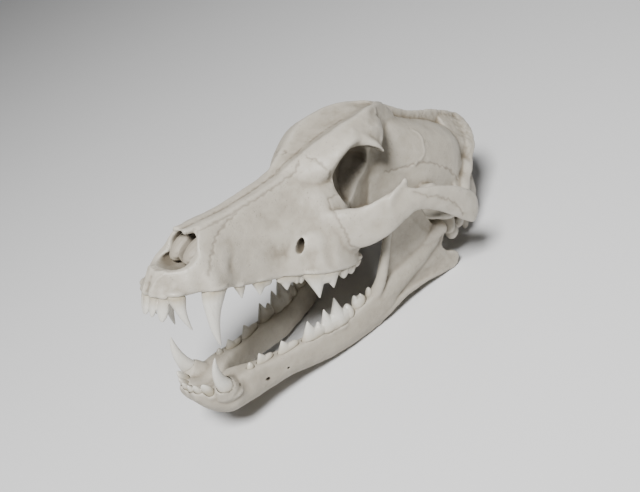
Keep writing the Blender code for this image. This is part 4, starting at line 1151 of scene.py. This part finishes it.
def aged_bone_group():
    inputs = [("Pale", "NodeSocketColor", (0.6, 0.57, 0.51, 1)),
              ("Dark", "NodeSocketColor", (0.3, 0.26, 0.2, 1)),
              ("Staining", "NodeSocketFloat", 0.5), ("Pitting", "NodeSocketFloat", 0.5)]
    outputs = [("Color", "NodeSocketColor"), ("Roughness", "NodeSocketFloat"),
               ("Height", "NodeSocketFloat")]
    tree, given, result = new_group("aged_bone", inputs, outputs)
    pale, dark = given.outputs["Pale"], given.outputs["Dark"]

    place = tree.nodes.new("ShaderNodeTexCoord").outputs["Object"]
    patches = clouds(tree, place, scale=26.0, detail=4.0)
    mottle = clouds(tree, place, scale=190.0, detail=5.0, roughness=0.65)
    grain = clouds(tree, along_skull(tree, place, (1400, 160, 1400)), scale=1.0, detail=3.0)
    cells = add_node(tree, "ShaderNodeTexVoronoi", {"Vector": place, "Scale": 620.0}).outputs["Distance"]
    pits = times(tree, ramp(tree, cells, 0.05, 0.3, 1.0, 0.0), ramp(tree, mottle, 0.48, 0.62))
    pits = times(tree, pits, given.outputs["Pitting"])

    tone = weighed(tree, -0.25, (patches, 0.9), (mottle, 0.35), clamp=True)
    colour = blend(tree, times(tree, tone, given.outputs["Staining"]), pale, dark)
    # Painted shade: hollows below the smoothed skin are darkened towards the dark colour.
    colour = blend(tree, times(tree, read_mark(tree, "hollow"), 0.9), colour, dark)
    # Painted shade: where the bone shuts off the open air round a point, it is darkened almost to black.
    colour = blend(tree, ramp(tree, read_mark(tree, "shelter"), 0.3, 0.95, end=0.9), colour, PAINTED_SHADE)
    worn = times(tree, read_mark(tree, "ridge"), 0.4)
    colour = blend(tree, worn, colour, WORN_BONE)
    colour = blend(tree, times(tree, read_mark(tree, "seam"), 0.35), colour, SEAM_DIRT)
    colour = blend(tree, times(tree, pits, 0.55), colour, PIT_DIRT)

    roughness = weighed(tree, 0.42, (mottle, 0.3), (worn, -0.3), clamp=True)
    height = weighed(tree, 0.0, (mottle, 0.9), (grain, 0.35), (pits, -0.9))
    for socket, value in (("Color", colour), ("Roughness", roughness), ("Height", height)):
        tree.links.new(value, result.inputs[socket])
    return tree


aged_bone = aged_bone_group()
print("group", aged_bone.name, len(aged_bone.nodes), "nodes")

# %% Bone materials
def new_material(name):
    material = bpy.data.materials.new(name)
    material.use_nodes = True
    return material, material.node_tree, material.node_tree.nodes["Principled BSDF"]


def finished(tree, shader, colour, roughness, height, strength, depth):
    """Links a finish to the shader, with its height as a fine bump."""
    sockets = {"Height": height, "Strength": strength, "Distance": depth}
    normal = add_node(tree, "ShaderNodeBump", sockets).outputs["Normal"]
    for socket, value in (("Base Color", colour), ("Roughness", roughness), ("Normal", normal)):
        tree.links.new(value, shader.inputs[socket])


def bone_material(name, pale, dark, staining, pitting):
    material, tree, shader = new_material(name)
    given = {"Pale": pale, "Dark": dark, "Staining": staining, "Pitting": pitting}
    aged = add_node(tree, "ShaderNodeGroup", given, node_tree=aged_bone).outputs
    finished(tree, shader, aged["Color"], aged["Roughness"], aged["Height"], strength=0.6, depth=0.0006)
    shader.inputs["Specular IOR Level"].default_value = 0.4
    return material


cranium_material = bone_material("cranium_bone", (0.42, 0.385, 0.32, 1), (0.16, 0.13, 0.09, 1), 0.5, 0.8)
jaw_material = bone_material("jaw_bone", (0.4, 0.365, 0.3, 1), (0.15, 0.12, 0.085, 1), 0.55, 0.7)
scroll_material = bone_material("scroll_bone", (0.36, 0.325, 0.265, 1), (0.14, 0.11, 0.08, 1), 0.6, 0.3)

# %% [markdown]
# Enamel is harder and paler than bone and has a shine. It turns yellow and brown near the neck, where
# the gum was, and fine cracks run up a dry tooth. A coat would look wet, so a low roughness does it.

# %% Enamel
CLEAN_ENAMEL = (0.6, 0.58, 0.52, 1)
NECK_STAIN = (0.34, 0.29, 0.2, 1)
CRACK_DIRT = (0.34, 0.3, 0.24, 1)
PAINTED_GROOVE_SHADE = (0.25, 0.21, 0.16, 1)


def enamel_material():
    material, tree, shader = new_material("enamel")
    place = tree.nodes.new("ShaderNodeTexCoord").outputs["Object"]
    streaks = clouds(tree, along_skull(tree, place, (900, 900, 90)), scale=1.0, detail=4.0)
    patches = clouds(tree, place, scale=160.0, detail=3.0)
    stained = times(tree, read_mark(tree, "neck"), weighed(tree, 0.25, (patches, 1.0)))
    colour = blend(tree, stained, CLEAN_ENAMEL, NECK_STAIN)
    colour = blend(tree, ramp(tree, streaks, 0.58, 0.72, end=0.3), colour, CRACK_DIRT)
    # Painted shade: the grooves between the cusps of the teeth are darkened.
    colour = blend(tree, times(tree, read_mark(tree, "hollow"), 0.6), colour, PAINTED_GROOVE_SHADE)
    roughness = weighed(tree, 0.2, (patches, 0.2))
    finished(tree, shader, colour, roughness, streaks, strength=0.25, depth=0.0003)
    return material


enamel = enamel_material()
print("materials", [material.name for material in bpy.data.materials])

# %% Put the finishes on, attach the pieces to the root and hide the imported bones
finishes = {cranium_bone: cranium_material, nose_scrolls: scroll_material,
            mandible_left_bone: jaw_material, mandible_right_bone: jaw_material,
            upper_teeth: enamel, lower_teeth_left: enamel, lower_teeth_right: enamel}
for piece, material in finishes.items():
    piece.data.materials.clear()
    piece.data.materials.append(material)
    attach(piece, "root")
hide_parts("cranium")
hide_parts("mandible_left")
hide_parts("mandible_right")
print("handed over", [piece.name for piece in finishes])

# %% [markdown]
# The skull lies on a plain pale floor under soft studio light. One lamp from the front left shapes the
# bone, one from behind lights its upper edges, a weak one fills the shadows, and the world adds a little
# light from all round.

# %% Floor
FLOOR_SIZE = 12
bpy.ops.object.select_all(action="DESELECT")
bpy.ops.mesh.primitive_plane_add(size=FLOOR_SIZE)
floor = bpy.context.active_object
floor.name = "floor"
floor_material, _, floor_shader = new_material("floor")
floor_shader.inputs["Base Color"].default_value = (0.68, 0.68, 0.68, 1)
floor_shader.inputs["Roughness"].default_value = 0.8
floor.data.materials.append(floor_material)

# %% Light
def lamp(name, place, target, size, power):
    """A square soft lamp, placed in the skull's own frame."""
    light = bpy.data.lights.new(name, "AREA")
    light.size = size
    light.energy = power
    thing = placed(name, light)
    where, aim = to_world @ Vector(place), to_world @ Vector(target)
    thing.location = where
    thing.rotation_euler = (aim - where).to_track_quat("-Z", "Y").to_euler()


lamp("key", (1150, 520, 820), (120, 0, 30), size=0.4, power=44.0)
lamp("fill", (-300, 1500, 900), (120, 0, 30), size=1.2, power=1.2)
lamp("rim", (-900, -1500, 2200), (120, 0, 40), size=1.2, power=7.0)
world = bpy.context.scene.world or bpy.data.worlds.new("world")
bpy.context.scene.world = world
world.use_nodes = True
background = world.node_tree.nodes["Background"]
background.inputs["Color"].default_value = (1, 1, 1, 1)
background.inputs["Strength"].default_value = 0.035

# %% [markdown]
# The camera stands where the picture's did: its place and turn were worked out from about thirty points
# of the skull, in the skull's own frame. Its right, down and forward directions are the rows below.

# %% Camera
VIEW_RIGHT = Vector((-0.73466759, 0.67825164, -0.01543536))
VIEW_DOWN = Vector((0.19768357, 0.19225135, -0.96122871))
VIEW_FORWARD = Vector((-0.64898748, -0.70923489, -0.27532004))
VIEW_PLACE = Vector((477.0, 390.7, 156.4))
FOCAL_PIXELS = 847.66
PICTURE_WIDTH = 640
SENSOR_WIDTH = 36.0

camera_data = bpy.data.cameras.new("camera")
camera_data.sensor_width = SENSOR_WIDTH
camera_data.lens = FOCAL_PIXELS / PICTURE_WIDTH * SENSOR_WIDTH
camera_data.clip_start = 0.01
camera = placed("camera", camera_data)
facing = Matrix((VIEW_RIGHT, -VIEW_DOWN, -VIEW_FORWARD)).transposed()
camera.matrix_world = Matrix.Translation(to_world @ VIEW_PLACE) @ (turned.to_3x3() @ facing).to_4x4()
bpy.context.scene.camera = camera
print("camera at", [round(v, 3) for v in camera.matrix_world.translation])

# %% Update the scene
bpy.context.view_layer.update()
